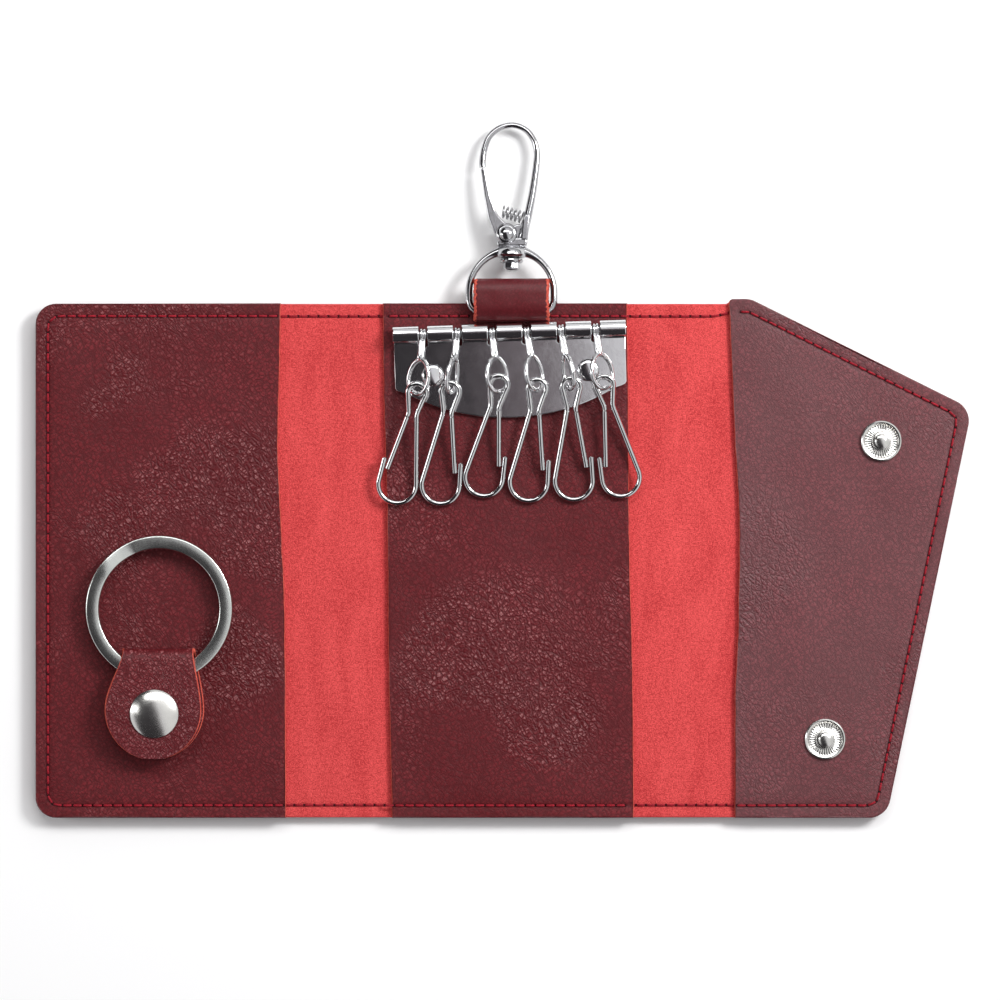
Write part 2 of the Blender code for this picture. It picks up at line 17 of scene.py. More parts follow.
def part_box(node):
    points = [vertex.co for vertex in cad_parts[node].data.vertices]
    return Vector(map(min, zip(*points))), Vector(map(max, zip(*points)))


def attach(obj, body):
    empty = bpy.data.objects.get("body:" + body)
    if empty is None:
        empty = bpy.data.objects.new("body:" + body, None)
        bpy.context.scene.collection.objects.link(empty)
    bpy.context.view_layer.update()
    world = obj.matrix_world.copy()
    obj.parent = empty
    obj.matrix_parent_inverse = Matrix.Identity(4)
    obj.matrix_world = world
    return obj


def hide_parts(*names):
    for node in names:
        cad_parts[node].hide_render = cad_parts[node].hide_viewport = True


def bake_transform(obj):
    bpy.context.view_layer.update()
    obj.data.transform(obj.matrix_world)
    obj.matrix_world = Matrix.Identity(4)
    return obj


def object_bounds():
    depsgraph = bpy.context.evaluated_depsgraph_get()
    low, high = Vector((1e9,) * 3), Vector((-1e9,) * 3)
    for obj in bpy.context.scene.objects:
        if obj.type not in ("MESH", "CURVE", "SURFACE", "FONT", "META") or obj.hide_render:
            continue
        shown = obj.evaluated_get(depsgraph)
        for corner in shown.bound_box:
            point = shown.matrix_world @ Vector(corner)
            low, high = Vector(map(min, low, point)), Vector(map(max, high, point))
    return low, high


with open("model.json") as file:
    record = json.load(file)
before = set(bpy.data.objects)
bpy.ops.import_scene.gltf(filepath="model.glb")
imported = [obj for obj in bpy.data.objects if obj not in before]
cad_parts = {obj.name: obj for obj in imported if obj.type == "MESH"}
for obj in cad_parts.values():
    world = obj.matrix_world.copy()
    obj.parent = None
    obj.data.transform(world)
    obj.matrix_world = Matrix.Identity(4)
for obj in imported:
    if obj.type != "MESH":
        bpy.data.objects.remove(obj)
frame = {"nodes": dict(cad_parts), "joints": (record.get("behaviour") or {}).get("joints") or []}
CAD_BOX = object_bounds()

MM = 0.001
JOINTS = {joint["name"]: joint for joint in frame["joints"]}
REST_UV = "rest"  # the rest position, 100 mm to a unit, so that grain stays put when leather bends
UV_MM = 100.0


def joint_at(name):
    return Vector(JOINTS[name]["pos_m"]) / MM


def joint_axis(name):
    return Vector(JOINTS[name]["axis"]).normalized()


def node_box(name):
    """(lowest corner, highest corner) of a CAD node, in mm."""
    low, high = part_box(name)
    return low / MM, high / MM


# ---------------------------------------------------------------- mesh tools


def turn_to(points, closed):
    """A frame at each point of a line, carried along it without twist."""
    count = len(points)
    tangents = []
    for index in range(count):
        before = points[index - 1] if closed or index else points[0]
        after = points[(index + 1) % count] if closed or index < count - 1 else points[-1]
        tangents.append((after - before).normalized())
    guide = Vector((0, 0, 1)) if abs(tangents[0].z) < 0.9 else Vector((1, 0, 0))
    side = tangents[0].cross(guide).normalized()
    frames = []
    for tangent in tangents:
        side = (side - tangent * side.dot(tangent)).normalized()
        frames.append((side, tangent.cross(side).normalized()))
    return frames


def quads(rings, size, closed=False):
    """The faces between rings that have size points each."""
    faces = []
    for ring in range(rings if closed else rings - 1):
        first, second = ring * size, (ring + 1) % rings * size
        for step in range(size):
            after = (step + 1) % size
            faces.append((first + step, first + after, second + after, second + step))
    return faces


def lids(rings, size):
    """The faces that close the first and the last ring."""
    return [tuple(reversed(range(size))), tuple(range((rings - 1) * size, rings * size))]


def tube(points, radius, sides=14, closed=False, blunt=0.35):
    """(vertices, faces) of a round wire. Radius is one number or one for each point."""
    line = [Vector(point) for point in points]
    radii = list(radius) if hasattr(radius, "__len__") else [radius] * len(line)
    if not closed and blunt:
        for end, step in ((0, 1), (-1, -1)):
            inward = (line[end + step] - line[end]).normalized() * radii[end] * blunt
            tip, full = line[end].copy(), radii[end]
            line[end] = tip + inward
            line.insert(0 if end == 0 else len(line), tip)
            radii.insert(0 if end == 0 else len(radii), full * (1 - blunt))
    vertices = []
    for centre, size, (across, up) in zip(line, radii, turn_to(line, closed)):
        for step in range(sides):
            angle = 2 * math.pi * step / sides
            vertices.append(centre + (across * math.cos(angle) + up * math.sin(angle)) * size)
    first, last = lids(len(line), sides)
    return vertices, quads(len(line), sides, closed) + ([] if closed else [first[::-1], last])


def lathe(profile, steps=64, closed=False, relief=None):
    """(vertices, faces) of a (radius, height) profile turned about Z. Relief adds height."""
    vertices, rows = [], []
    for radius, height in profile:
        if radius == 0:
            rows.append([len(vertices)] * steps)
            vertices.append(Vector((0, 0, height)))
            continue
        rows.append(list(range(len(vertices), len(vertices) + steps)))
        for step in range(steps):
            angle = 2 * math.pi * step / steps
            lift = relief(angle, radius) if relief else 0.0
            vertices.append(
                Vector((radius * math.cos(angle), radius * math.sin(angle), height + lift))
            )
    pairs = list(zip(rows, rows[1:])) + ([(rows[-1], rows[0])] if closed else [])
    faces = []
    for upper, lower in pairs:
        for step in range(steps):
            after = (step + 1) % steps
            corners = (upper[step], upper[after], lower[after], lower[step])
            face = tuple(dict.fromkeys(corners))
            if len(face) > 2:
                faces.append(face)
    return vertices, faces


def moved(shape, matrix):
    vertices, faces = shape
    return [matrix @ Vector(vertex) for vertex in vertices], faces


def clamped(share):
    return min(1.0, max(0.0, share))


def merged(*shapes):
    """Several shapes as one list of vertices and faces."""
    vertices, faces = [], []
    for more, polygons in shapes:
        start = len(vertices)
        vertices.extend(more)
        faces.extend(tuple(start + index for index in polygon) for polygon in polygons)
    return vertices, faces


def arc(centre, radius, start, end, steps):
    angles = [math.radians(start + (end - start) * i / steps) for i in range(steps + 1)]
    return [(centre[0] + radius * math.cos(a), centre[1] + radius * math.sin(a)) for a in angles]


def eased(points, reach, steps):
    """The same line with each corner rounded, as far as reach to either side of it."""
    line = [Vector(point).to_3d() for point in points]
    result = line[:1]
    for before, here, after in zip(line, line[1:], line[2:]):
        start = here + (before - here) * min(0.5, reach / max((before - here).length, 1e-6))
        end = here + (after - here) * min(0.5, reach / max((after - here).length, 1e-6))
        for step in range(steps + 1):
            t = step / steps
            result.append(start * (1 - t) ** 2 + here * 2 * t * (1 - t) + end * t * t)
    result.append(line[-1])
    return [p for i, p in enumerate(result) if i == 0 or (p - result[i - 1]).length > 1e-4]


def smooth_line(points, steps):
    """A Catmull-Rom curve through points of any dimension, ends included."""
    rows = [list(points[0])] + [list(p) for p in points] + [list(points[-1])]
    curve = []
    for a, b, c, d in zip(rows, rows[1:], rows[2:], rows[3:]):
        for step in range(steps):
            t = step / steps
            weights = (
                -t / 2 + t * t - t**3 / 2,
                1 - 2.5 * t * t + 1.5 * t**3,
                t / 2 + 2 * t * t - 1.5 * t**3,
                -t * t / 2 + t**3 / 2,
            )
            columns = zip(a, b, c, d)
            curve.append([sum(w * v for w, v in zip(weights, column)) for column in columns])
    curve.append(rows[-1])
    return curve


def inset(outline, distance):
    """An outline, anticlockwise, moved inwards."""
    count = len(outline)
    result = []
    for index, (x, y) in enumerate(outline):
        before, after = outline[index - 1], outline[(index + 1) % count]
        first = Vector((x - before[0], y - before[1])).normalized()
        second = Vector((after[0] - x, after[1] - y)).normalized()
        normal = Vector((-first.y - second.y, first.x + second.x))
        normal = normal.normalized() if normal.length > 1e-6 else Vector((-first.y, first.x))
        stretch = max(0.5, normal.dot(Vector((-first.y, first.x))))
        result.append((x + normal.x * distance / stretch, y + normal.y * distance / stretch))
    return result


def plate(outline, low, high, rim=0.25, rim_steps=3, flat=0.12):
    """(vertices, faces) of a flat piece with rounded rims, and a level strip inside each."""
    outline = list(outline)
    area = sum(a[0] * b[1] - b[0] * a[1] for a, b in zip(outline, outline[1:] + outline[:1]))
    if area <= 0:
        outline.reverse()
    rim = min(rim, (high - low) / 2)
    levels = [(rim + flat, low)]
    for step in range(rim_steps + 1):
        angle = math.pi / 2 * step / rim_steps
        levels.append((rim * (1 - math.sin(angle)), low + rim * (1 - math.cos(angle))))
    levels += [(distance, low + high - height) for distance, height in reversed(levels)]
    vertices = []
    for distance, height in levels:
        vertices += [Vector((x, y, height)) for x, y in inset(outline, distance)]
    size = len(levels), len(outline)
    return vertices, quads(*size) + lids(*size)


def split(work, point, normal, trimmed=False):
    """Cuts a mesh along a plane. Trimmed takes away what lies beyond it and closes the cut."""
    everything = work.verts[:] + work.edges[:] + work.faces[:]
    cut = bmesh.ops.bisect_plane(
        work, geom=everything, plane_co=point, plane_no=normal, clear_outer=trimmed
    )
    if trimmed:
        rim = [item for item in cut["geom_cut"] if isinstance(item, bmesh.types.BMEdge)]
        bmesh.ops.edgenet_fill(work, edges=rim)


def piece(name, shape, looks, body=None, stands_for=(), matrix=None, cuts=(), shift=None,
          choose=None, sharp=40, trims=()):
    """A visible piece. It stands for CAD nodes.
    Cuts are planes (point, normal); trims are planes that end the piece; shift moves each
    point; choose picks each face's material from its centre and normal."""
    vertices, faces = moved(shape, matrix) if matrix else shape
    looks = looks if isinstance(looks, (list, tuple)) else [looks]
    mesh = bpy.data.meshes.new(name)
    mesh.from_pydata([tuple(vertex) for vertex in vertices], [], faces)
    work = bmesh.new()
    work.from_mesh(mesh)
    bmesh.ops.remove_doubles(work, verts=work.verts, dist=1e-4)
    for point, normal in cuts:
        split(work, point, normal)
    for point, normal in trims:
        split(work, point, normal, trimmed=True)
    bmesh.ops.recalc_face_normals(work, faces=work.faces)
    uv = work.loops.layers.uv.new(REST_UV)
    for face in work.faces:
        for loop in face.loops:
            loop[uv].uv = (loop.vert.co.x / UV_MM, loop.vert.co.y / UV_MM)
        if choose:
            face.material_index = choose(face.calc_center_median(), face.normal)
    for vertex in work.verts:
        vertex.co = (shift(vertex.co) if shift else vertex.co) * MM
    work.to_mesh(mesh)
    work.free()
    mesh.shade_smooth()
    mesh.set_sharp_from_angle(angle=math.radians(sharp))
    for look in looks:
        mesh.materials.append(look)
    obj = bpy.data.objects.new(name, mesh)
    bpy.context.scene.collection.objects.link(obj)
    if body:
        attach(obj, body)
    if stands_for:
        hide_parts(*([stands_for] if isinstance(stands_for, str) else stands_for))
    return obj


# ---------------------------------------------------------------- materials


NEAR_SHIFT = 0.08  # the noise's mean push, which is taken back
NEAR_CORE = 0.35  # the share of a spot's radius that takes its full weight


class Nodes:
    """A material's node tree, with short calls for the nodes that the finishes share."""

    def __init__(self, name, colour, roughness, metallic=0.0):
        self.material = bpy.data.materials.new(name)
        self.material.use_nodes = True
        self.material.diffuse_color = (*colour, 1.0)
        self.tree = self.material.node_tree
        self.shader = self.tree.nodes["Principled BSDF"]
        self.set("Base Color", colour)
        self.set("Roughness", roughness)
        self.set("Metallic", metallic)

    def set(self, socket, value):
        self.put(self.shader, socket, value)

    def put(self, node, socket, value):
        """Links or sets a socket, which is a name or a number. A colour needs no alpha."""
        target = node.inputs[socket]
        if isinstance(value, bpy.types.NodeSocket):
            self.tree.links.new(value, target)
        else:
            target.default_value = (*value, 1.0) if target.type == "RGBA" else value

    def node(self, kind, *values, **settings):
        """A new node, with values as (socket, value) pairs and its own settings by name."""
        made = self.tree.nodes.new(f"ShaderNode{kind}")
        for name, setting in settings.items():
            setattr(made, name, setting)
        for socket, value in values:
            self.put(made, socket, value)
        return made

    def rest_place(self, stretch=(1, 1, 1), turn=0.0):
        """Coordinates that stay with the leather, in units of 100 mm, turned and stretched."""
        source = self.node("UVMap", uv_map=REST_UV).outputs[0]
        turned = (0, 0, math.radians(turn))
        return self.node("Mapping", ("Vector", source), ("Scale", stretch), ("Rotation", turned),
                         vector_type="TEXTURE").outputs[0]

    def object_place(self):
        return self.node("TexCoord").outputs["Object"]

    def noise(self, place, scale, detail=4.0, roughness=0.55, distortion=0.0):
        return self.node("TexNoise", ("Vector", place), ("Scale", scale), ("Detail", detail),
                         ("Roughness", roughness), ("Distortion", distortion)).outputs["Fac"]

    def cells(self, place, scale):
        """How far a place is from the edge of its cell."""
        return self.node("TexVoronoi", ("Vector", place), ("Scale", scale), ("Randomness", 1.0),
                         feature="DISTANCE_TO_EDGE").outputs["Distance"]

    def near(self, place, x, y, radius):
        """1 at a place in mm on the leather, falling to 0 at a radius from it."""
        reach = self.node("VectorMath", operation="DISTANCE")
        self.put(reach, 0, self.bent(place, 5.0, 2 * NEAR_SHIFT))
        self.put(reach, 1, (x / UV_MM + NEAR_SHIFT, y / UV_MM + NEAR_SHIFT, NEAR_SHIFT))
        radius /= UV_MM
        return self.range(reach.outputs["Value"], NEAR_CORE * radius, radius, 1.0, 0.0)

    def bent(self, place, scale, amount):
        """Coordinates pushed about by noise, so that grain isn't regular."""
        push = self.node("TexNoise", ("Vector", place), ("Scale", scale), ("Detail", 2.0))
        scaled = self.node("VectorMath", (0, push.outputs["Color"]), ("Scale", amount),
                           operation="SCALE")
        return self.node("VectorMath", (0, place), (1, scaled.outputs[0])).outputs[0]

    def range(self, value, low, high, to_low=0.0, to_high=1.0):
        return self.node("MapRange", ("Value", value), (1, low), (2, high), (3, to_low),
                         (4, to_high), interpolation_type="SMOOTHSTEP").outputs[0]

    def mix(self, share, first, second):
        made = self.node("Mix", data_type="RGBA")
        for socket, value in (("Factor", share), (6, first), (7, second)):
            self.put(made, socket, value)
        return made.outputs[2]

    def sum(self, *terms):
        """Values times weights, added up."""
        total = 0.0
        for value, weight in terms:
            total = self.node("Math", (0, value), (1, weight), (2, total),
                              operation="MULTIPLY_ADD").outputs[0]
        return total

    def finish(self, colour=None, roughness=None, height=None, depth=0.0002, strength=1.0):
        if colour is not None:
            self.set("Base Color", colour)
        if roughness is not None:
            self.set("Roughness", roughness)
        if height is not None:
            bump = self.node("Bump", ("Height", height), ("Distance", depth),
                             ("Strength", strength))
            self.set("Normal", bump.outputs[0])
        return self.material


# Painted highlight: the light pinkish grey that the tops of the grain are mixed towards
GLINT = (0.50, 0.27, 0.27)
# How much each spot adds to the patches of deeper creases, more gloss and painted highlight
CREASE_AND_GLINT_SHARE = 0.26


def leather(name, colour, dark, grain, folds, shine, depth, sheen=0.34, glint=0.0, crease_and_glint_spots=()):
    """Pebbled leather. Grain is pebbles to 100 mm; folds is how deep the crossed creases are;
    glint is how strongly the tops of the grain are painted lighter in patches, a painted
    highlight; the last argument lists (x, y, radius) of spots in mm where the creases are
    deeper, the gloss a little higher and the painted highlight stronger."""
    made = Nodes(name, colour, shine)
    place = made.rest_place()
    one_way = made.bent(made.rest_place(stretch=(1.9, 1.0, 1.0), turn=38.0), 7.0, 0.06)
    other_way = made.bent(made.rest_place(stretch=(2.3, 1.0, 1.0), turn=-52.0), 9.0, 0.05)
    pebbles = made.range(made.cells(one_way, grain), 0.0, 0.28)
    creases = made.range(made.cells(other_way, grain * 0.9), 0.0, 0.22)
    small = made.range(made.cells(made.bent(place, 40.0, 0.01), grain * 2.4), 0.0, 0.34)
    pores = made.noise(place, grain * 4.5, 3.0, 0.65)
    # Patches where the creases run deeper, the gloss is a little higher and the grain tops get a
    # painted highlight; the spots add to them
    lit = made.noise(place, 2.7, 2.5)
    for x, y, radius in crease_and_glint_spots:
        lit = made.sum((made.near(place, x, y, radius), CREASE_AND_GLINT_SHARE), (lit, 1.0))
    patches = made.range(lit, 0.46, 0.70)
    deep = made.sum((patches, folds), (folds, 0.30))
    height = made.sum((pebbles, deep), (creases, deep), (small, 0.30), (pores, 0.30))
    shade = made.sum((pebbles, 0.26), (creases, 0.20), (pores, 0.60))
    clouds = made.range(made.noise(place, 4.3, 3.0), 0.34, 0.68)
    body = made.mix(clouds, tuple(c * 0.86 for c in colour), tuple(c * 1.14 for c in colour))
    final = made.mix(made.range(shade, 0.36, 0.82), dark, body)
    # Painted highlight: in the patches, the tops of the grain are mixed towards the light glint
    # colour
    tops = made.range(made.sum((pebbles, 0.25), (creases, 0.25), (pores, 0.9)), 0.86, 1.08)
    final = made.mix(made.sum((made.sum((tops, patches)), glint)), final, GLINT)
    rough = made.sum((pores, 0.14), (clouds, 0.08), (patches, -0.10), (shine, 1.0))
    made.set("Specular IOR Level", sheen)
    return made.finish(final, rough, height, depth)


def suede():
    made = Nodes("coral_suede", (0.76, 0.085, 0.088), 0.94)
    place = made.rest_place()
    nap = made.noise(place, 330.0, 3.0, 0.75)
    tufts = made.noise(place, 120.0, 4.0, 0.65, 0.4)
    strokes = made.noise(made.rest_place(stretch=(1.0, 2.9, 1.0)), 14.0, 3.0, 0.6, 0.6)
    shade = made.sum((nap, 0.62), (tufts, 0.26), (strokes, 0.16))
    colour = made.mix(made.range(shade, 0.40, 0.64), (0.46, 0.032, 0.036), (0.84, 0.108, 0.106))
    height = made.sum((nap, 0.7), (tufts, 0.3))
    made.set("Specular IOR Level", 0.10)
    return made.finish(colour, None, height, 0.00036)


def raw_edge(name, light, dark):
    """The cut edge of leather: fibres in layers."""
    made = Nodes(name, light, 0.82)
    place = made.object_place()
    fibres = made.noise(place, 2600.0, 5.0, 0.7)
    layers = made.noise(place, 700.0, 3.0, 0.6)
    shade = made.range(made.sum((fibres, 0.6), (layers, 0.4)), 0.34, 0.68)
    made.set("Specular IOR Level", 0.2)
    return made.finish(made.mix(shade, dark, light), None, fibres, 0.0002)


def thread(name, light, dark):
    made = Nodes(name, light, 0.62)
    strands = made.noise(made.object_place(), 3200.0, 4.0, 0.6, 1.2)
    made.set("Specular IOR Level", 0.25)
    colour = made.mix(made.range(strands, 0.35, 0.65), dark, light)
    return made.finish(colour, None, strands, 0.00012)


def metal(name, colour, roughness, spread, scratch, depth=0.00002):
    """Plated metal: slight patches in its gloss, fine scratches, a very low orange peel."""
    made = Nodes(name, colour, roughness, 1.0)
    place = made.object_place()
    patches = made.noise(place, 260.0, 4.0, 0.6)
    fine = made.noise(place, 5200.0, 3.0, 0.7)
    peel = made.noise(place, 900.0, 2.0, 0.5)
    rough = made.sum((patches, spread), (fine, scratch), (roughness - spread / 2, 1.0))
    tint = made.mix(made.range(patches, 0.3, 0.7), tuple(c * 0.90 for c in colour), colour)
    return made.finish(tint, rough, made.sum((peel, 0.7), (fine, 0.3)), depth, 0.6)


BURGUNDY, BURGUNDY_DARK = (0.150, 0.0125, 0.0175), (0.084, 0.0066, 0.0095)
# Spots on the liners, (x, y, radius) in mm, with deeper creases, more gloss and a stronger painted
# highlight
CREASE_AND_GLINT_SPOTS = ((-71, 22, 17), (-58, 6, 16), (-62, -22, 15), (-90, 42, 12), (-10, -20, 20), (8, -38, 16))
LINER_LOOK = leather(
    "liner_leather", BURGUNDY, BURGUNDY_DARK, 124.0, 0.75, 0.34, 0.00008, 0.24, 0.72, CREASE_AND_GLINT_SPOTS
)
FLAP_LOOK = leather(
    "flap_leather", (0.158, 0.0250, 0.0335), (0.086, 0.0112, 0.0155), 132.0, 0.50, 0.44, 0.00009,
    0.62, 0.16
)
COVER_LOOK = leather("cover_leather", BURGUNDY, BURGUNDY_DARK, 104.0, 0.45, 0.40, 0.00008)
STRAP_LOOK = leather(
    "strap_leather", (0.118, 0.0100, 0.0150), BURGUNDY_DARK, 150.0, 0.20, 0.34, 0.00003
)
# The tab's one spot covers nearly the whole tab: deeper creases, more gloss and a stronger painted
# highlight there
TAB_LOOK = leather(
    "tab_leather", (0.168, 0.0165, 0.0225), BURGUNDY_DARK, 150.0, 0.50, 0.34, 0.00006, 0.30, 0.55,
    ((-82, -34, 20),)
)
SUEDE = suede()
RAW_CORAL = raw_edge("raw_coral_edge", (0.70, 0.13, 0.085), (0.38, 0.045, 0.035))
RAW_DARK = raw_edge("dyed_edge", (0.17, 0.03, 0.04), (0.07, 0.01, 0.015))
THREAD = thread("red_thread", (0.42, 0.010, 0.026), (0.16, 0.004, 0.010))
# Near-black plugs for the needle holes: painted shade, for the dark inside of each hole
NEEDLE_HOLE_SHADE = raw_edge("needle_hole_shade", (0.030, 0.004, 0.006), (0.010, 0.001, 0.002))
CHROME = metal("chrome", (0.80, 0.80, 0.81), 0.085, 0.05, 0.03, 0.000006)
CLASP_CHROME = metal("clasp_chrome", (0.50, 0.50, 0.515), 0.10, 0.05, 0.03)
# The rod is far darker than the other metals: painted shade, for the rod lying in shadow between
# the knuckles; its higher roughness is the steel's own
SHADED_ROD_STEEL = metal("rod_steel_painted_shade", (0.20, 0.20, 0.21), 0.30, 0.08, 0.05)
WIRE_CHROME = metal("wire_chrome", (0.70, 0.70, 0.705), 0.09, 0.05, 0.03)
NICKEL = metal("nickel", (0.74, 0.73, 0.70), 0.20, 0.08, 0.05)
SATIN_NICKEL = metal("satin_nickel", (0.66, 0.68, 0.65), 0.17, 0.06, 0.10, 0.00002)
SPRING = metal("spring_steel", (0.44, 0.44, 0.45), 0.24, 0.06, 0.06)
SLOTS = {
    look.name: slot
    for slot, looks in (
        ("cover_leather", (COVER_LOOK,)),
        ("liner_leather", (LINER_LOOK, FLAP_LOOK)),
        ("strap_leather", (STRAP_LOOK, TAB_LOOK)),
        ("chrome", (CHROME, CLASP_CHROME, SHADED_ROD_STEEL)),
        ("wire_chrome", (WIRE_CHROME,)),
        ("nickel", (NICKEL, SATIN_NICKEL)),
        ("spring_steel", (SPRING,)),
    )
    for look in looks
}


# ---------------------------------------------------------------- leather sheets

LOW, HIGH = node_box("outer_cover_middle")
BOTTOM, TOP, COVER = LOW.y, HIGH.y, HIGH.z
LEFT = node_box("outer_cover_left")[0].x
LINER_LOW, LINER_HIGH = (corner.z for corner in node_box("middle_liner"))
CORNER = 4.8
FLAP_CORNER = 5.0
FLAP_TOP_CORNER = 1.1
FLAP_SHOULDER = (56.6, 61.0, 5.0)
FLAP_PEAK = (108.2, 35.35)
FLAP_FOOT_X = 88.3
FLAP_TOP = FLAP_SHOULDER[1] - 0.2  # the cover's top edge behind the flap
TOP_STEP_X = (51.0, 52.3)  # where the top edge rises from the case to the flap
STITCH_STEP_X = (48.0, 51.5)
LEFT_CREASES = [joint_at(f"left_{n}").x for n in ("crease_1", "fold", "crease_3", "crease_4")]
RIGHT_CREASES = [joint_at(f"right_{n}").x for n in ("crease_1", "fold", "crease_3", "crease_4")]
LEFT_CHAIN = ("middle_panel", "left_spine_a", "left_spine_b", "left_spine_c", "left_panel")
RIGHT_CHAIN = ("middle_panel", "right_spine_a", "right_spine_b", "right_spine_c", "flap")
COVER_RIM = 0.3
LINER_RIM = 0.32
COVER_LIFT = 0.07
PAST_JOIN = 1.5
BEND = 2.3  # how far the leather bends to either side of a crease
GRID = 3.2
FINE_GRID = 0.55
STITCH_INSET = 2.9
STITCH_CORNER = 2.6
GROOVE_DEPTH, GROOVE_WIDTH = 0.16, 0.55
GROOVE_CUTS = (-1.1, -0.45, 0.0, 0.45, 1.1)
SHORTEST_GROOVE = 15
LINER_LIFT = 0.42
MOST_LIFT = 0.2  # less than the gap under the hardware that rests on a liner
SKIN = 0.01  # what counts as being on the upper or lower face
SEEDS = (4.1, 6.7, 9.2)
COVER_SEED = 1.3
RIPPLES = ((1.4, 27, 33, 0), (0.55, 9, 12, 7))  # strength, length in x and y, change of seed
STITCH_PITCH = 2.35
STITCH_SPAN = (0.2, 0.96)  # both ends of a stitch, in pitches
THREAD_R = 0.25
HOLE_R, HOLE_PAST_END = 0.34, 0.12
HOLE_LIFT, HOLE_DEEP = 0.015, 0.2

# Each liner's raw inner edge wanders; (y, x) down the panel
LEFT_LINER_EDGE = ((60, -53.0), (40, -53.4), (25, -53.6), (8, -52.9), (-15, -52.0), (-60, -51.8))
MIDDLE_LEFT_EDGE = ((60, -29.2), (38, -29.0), (10, -28.2), (-22, -27.9), (-60, -27.1))
MIDDLE_RIGHT_EDGE = ((-60, 29.3), (-30, 29.2), (4, 28.3), (32, 28.2), (60, 27.8))
FLAP_LINER_EDGE = (
    (61.0, 51.5), (46, 52.1), (32, 52.7), (10, 53.8), (-12, 53.7), (-34, 52.9), (-60, 52.9)
)
KNIFE_WOBBLE = 0.16
CORNER_ROOM = 1.6  # what a corner's own points need


def rounded(corners, steps=10):
    """An outline from (x, y, radius) corners."""
    outline = []
    for index, (x, y, radius) in enumerate(corners):
        here = Vector((x, y))
        if radius == 0:
            outline.append((x, y))
            continue
        before = (Vector(corners[index - 1][:2]) - here).normalized()
        after = (Vector(corners[(index + 1) % len(corners)][:2]) - here).normalized()
        half = before.angle(after) / 2
        centre = here + (before + after).normalized() * (radius / math.sin(half))
        start = here + before * (radius / math.tan(half)) - centre
        sweep = start.angle_signed(here + after * (radius / math.tan(half)) - centre)
        for step in range(steps + 1):
            outline.append(tuple(centre + Matrix.Rotation(-sweep * step / steps, 2) @ start))
    return outline


def wandering_edge(rows):
    """A raw edge through (y, x) rows, with the knife's small wobble."""
    first, last = (rows[0][1], rows[0][0]), (rows[-1][1], rows[-1][0])
    edge = []
    for y, x in smooth_line(rows, 12)[1:-1]:
        if min(abs(y - first[1]), abs(y - last[1])) > CORNER_ROOM:
            edge.append((x + KNIFE_WOBBLE * noise.noise(Vector((x, y / 2.3, 3.7))), y))
    return [first, *edge, last]


def planes(axis, low, high, step):
    """Cutting planes across one axis between two places."""
    count = max(1, round((high - low) / step))
    normal = (1, 0, 0) if axis == 0 else (0, 1, 0)
    spots = [low + (high - low) * i / count for i in range(1, count)]
    return [((at, 0, 0) if axis == 0 else (0, at, 0), normal) for at in spots]


def stitch_line():
    """The line of stitches round the whole case, anticlockwise from the lower left."""
    edge = [(LEFT, BOTTOM), (FLAP_FOOT_X, BOTTOM), FLAP_PEAK, FLAP_SHOULDER[:2],
            (STITCH_STEP_X[1], FLAP_TOP), (STITCH_STEP_X[0], TOP), (LEFT, TOP)]
    return rounded([(x, y, STITCH_CORNER) for x, y in inset(edge, STITCH_INSET)], 4)


STITCHING = stitch_line()
STITCH_LEGS = [
    (Vector(start), Vector(end)) for start, end in zip(STITCHING, STITCHING[1:] + STITCHING[:1])
]


def stitch_distance(x, y):
    """How far a point is from the stitch line."""
    here = Vector((x, y))
    best = math.inf
    for a, b in STITCH_LEGS:
        share = clamped((here - a).dot(b - a) / max((b - a).length_squared, 1e-9))
        best = min(best, (here - a - (b - a) * share).length)
    return best


def groove_cuts(low_x, high_x):
    """Planes that follow the stitch line, so that the thread can sit in a groove."""
    cuts = []
    for a, b in STITCH_LEGS:
        if (b - a).length < SHORTEST_GROOVE or max(a.x, b.x) < low_x or min(a.x, b.x) > high_x:
            continue
        along = (b - a).normalized()
        normal = Vector((-along.y, along.x, 0))
        cuts += [((a.to_3d() + normal * offset), normal) for offset in GROOVE_CUTS]
    return cuts


def ripple(x, y, seed):
    """The gentle unevenness of a leather panel, from about -1 to 1."""
    return sum(
        strength * noise.noise(Vector((x / long_x, y / long_y, seed + change)))
        for strength, long_x, long_y, change in RIPPLES
    )


def uneven(low, high, height, seed):
    """Moves the upper and lower skins: soft ripples, and a groove under the stitches."""

    def shift(point):
        x, y, z = point
        if abs(z - low) > SKIN and abs(z - high) > SKIN:
            return point
        lift = min(height * ripple(x, y, seed), MOST_LIFT)
        dip = GROOVE_DEPTH * math.exp(-((stitch_distance(x, y) / GROOVE_WIDTH) ** 2))
        lift += -dip if z > (low + high) / 2 else dip
        return Vector((x, y, z + lift))

    return shift


# A piece of the cover: the two bodies that meet at its crease, its crease, which way it runs from
# the middle, and where it starts and ends
Cover = namedtuple("Cover", "obj bodies crease away low_x high_x")
COVER_NODES = {
    "cover_middle_left": "outer_cover_middle",
    "cover_left_fold_ab": ("left_spine_inner", "left_spine_middle"),
    "cover_left_fold_bc": "left_spine_outer",
    "cover_left": "outer_cover_left",
    "cover_right_fold_ab": ("right_spine_inner", "right_spine_middle"),
    "cover_right_fold_bc": "right_spine_outer",
    "cover_flap": "outer_cover_flap",
}


def bend_with(obj, cover):
    """Bakes a piece's place into its mesh; the piece is not bent over any crease."""
    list(cover.bodies)
    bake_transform(obj)


def cover_piece(name, shape, cuts, trims, spine, *bend):
    """Outside burgundy, inside coral, and the cut edges coral along the spines."""

    def choose(centre, normal):
        if normal.z > 0.4:
            return 1
        return 2 if normal.z > -0.4 and spine[0] < centre.x < spine[1] else 0

    obj = piece(name, shape, [COVER_LOOK, SUEDE, RAW_CORAL], None, COVER_NODES.get(name, ()),
                cuts=cuts, shift=uneven(0, COVER, COVER_LIFT, COVER_SEED), choose=choose,
                trims=trims)
    cover = Cover(obj, *bend)
    bend_with(obj, cover)
    return cover


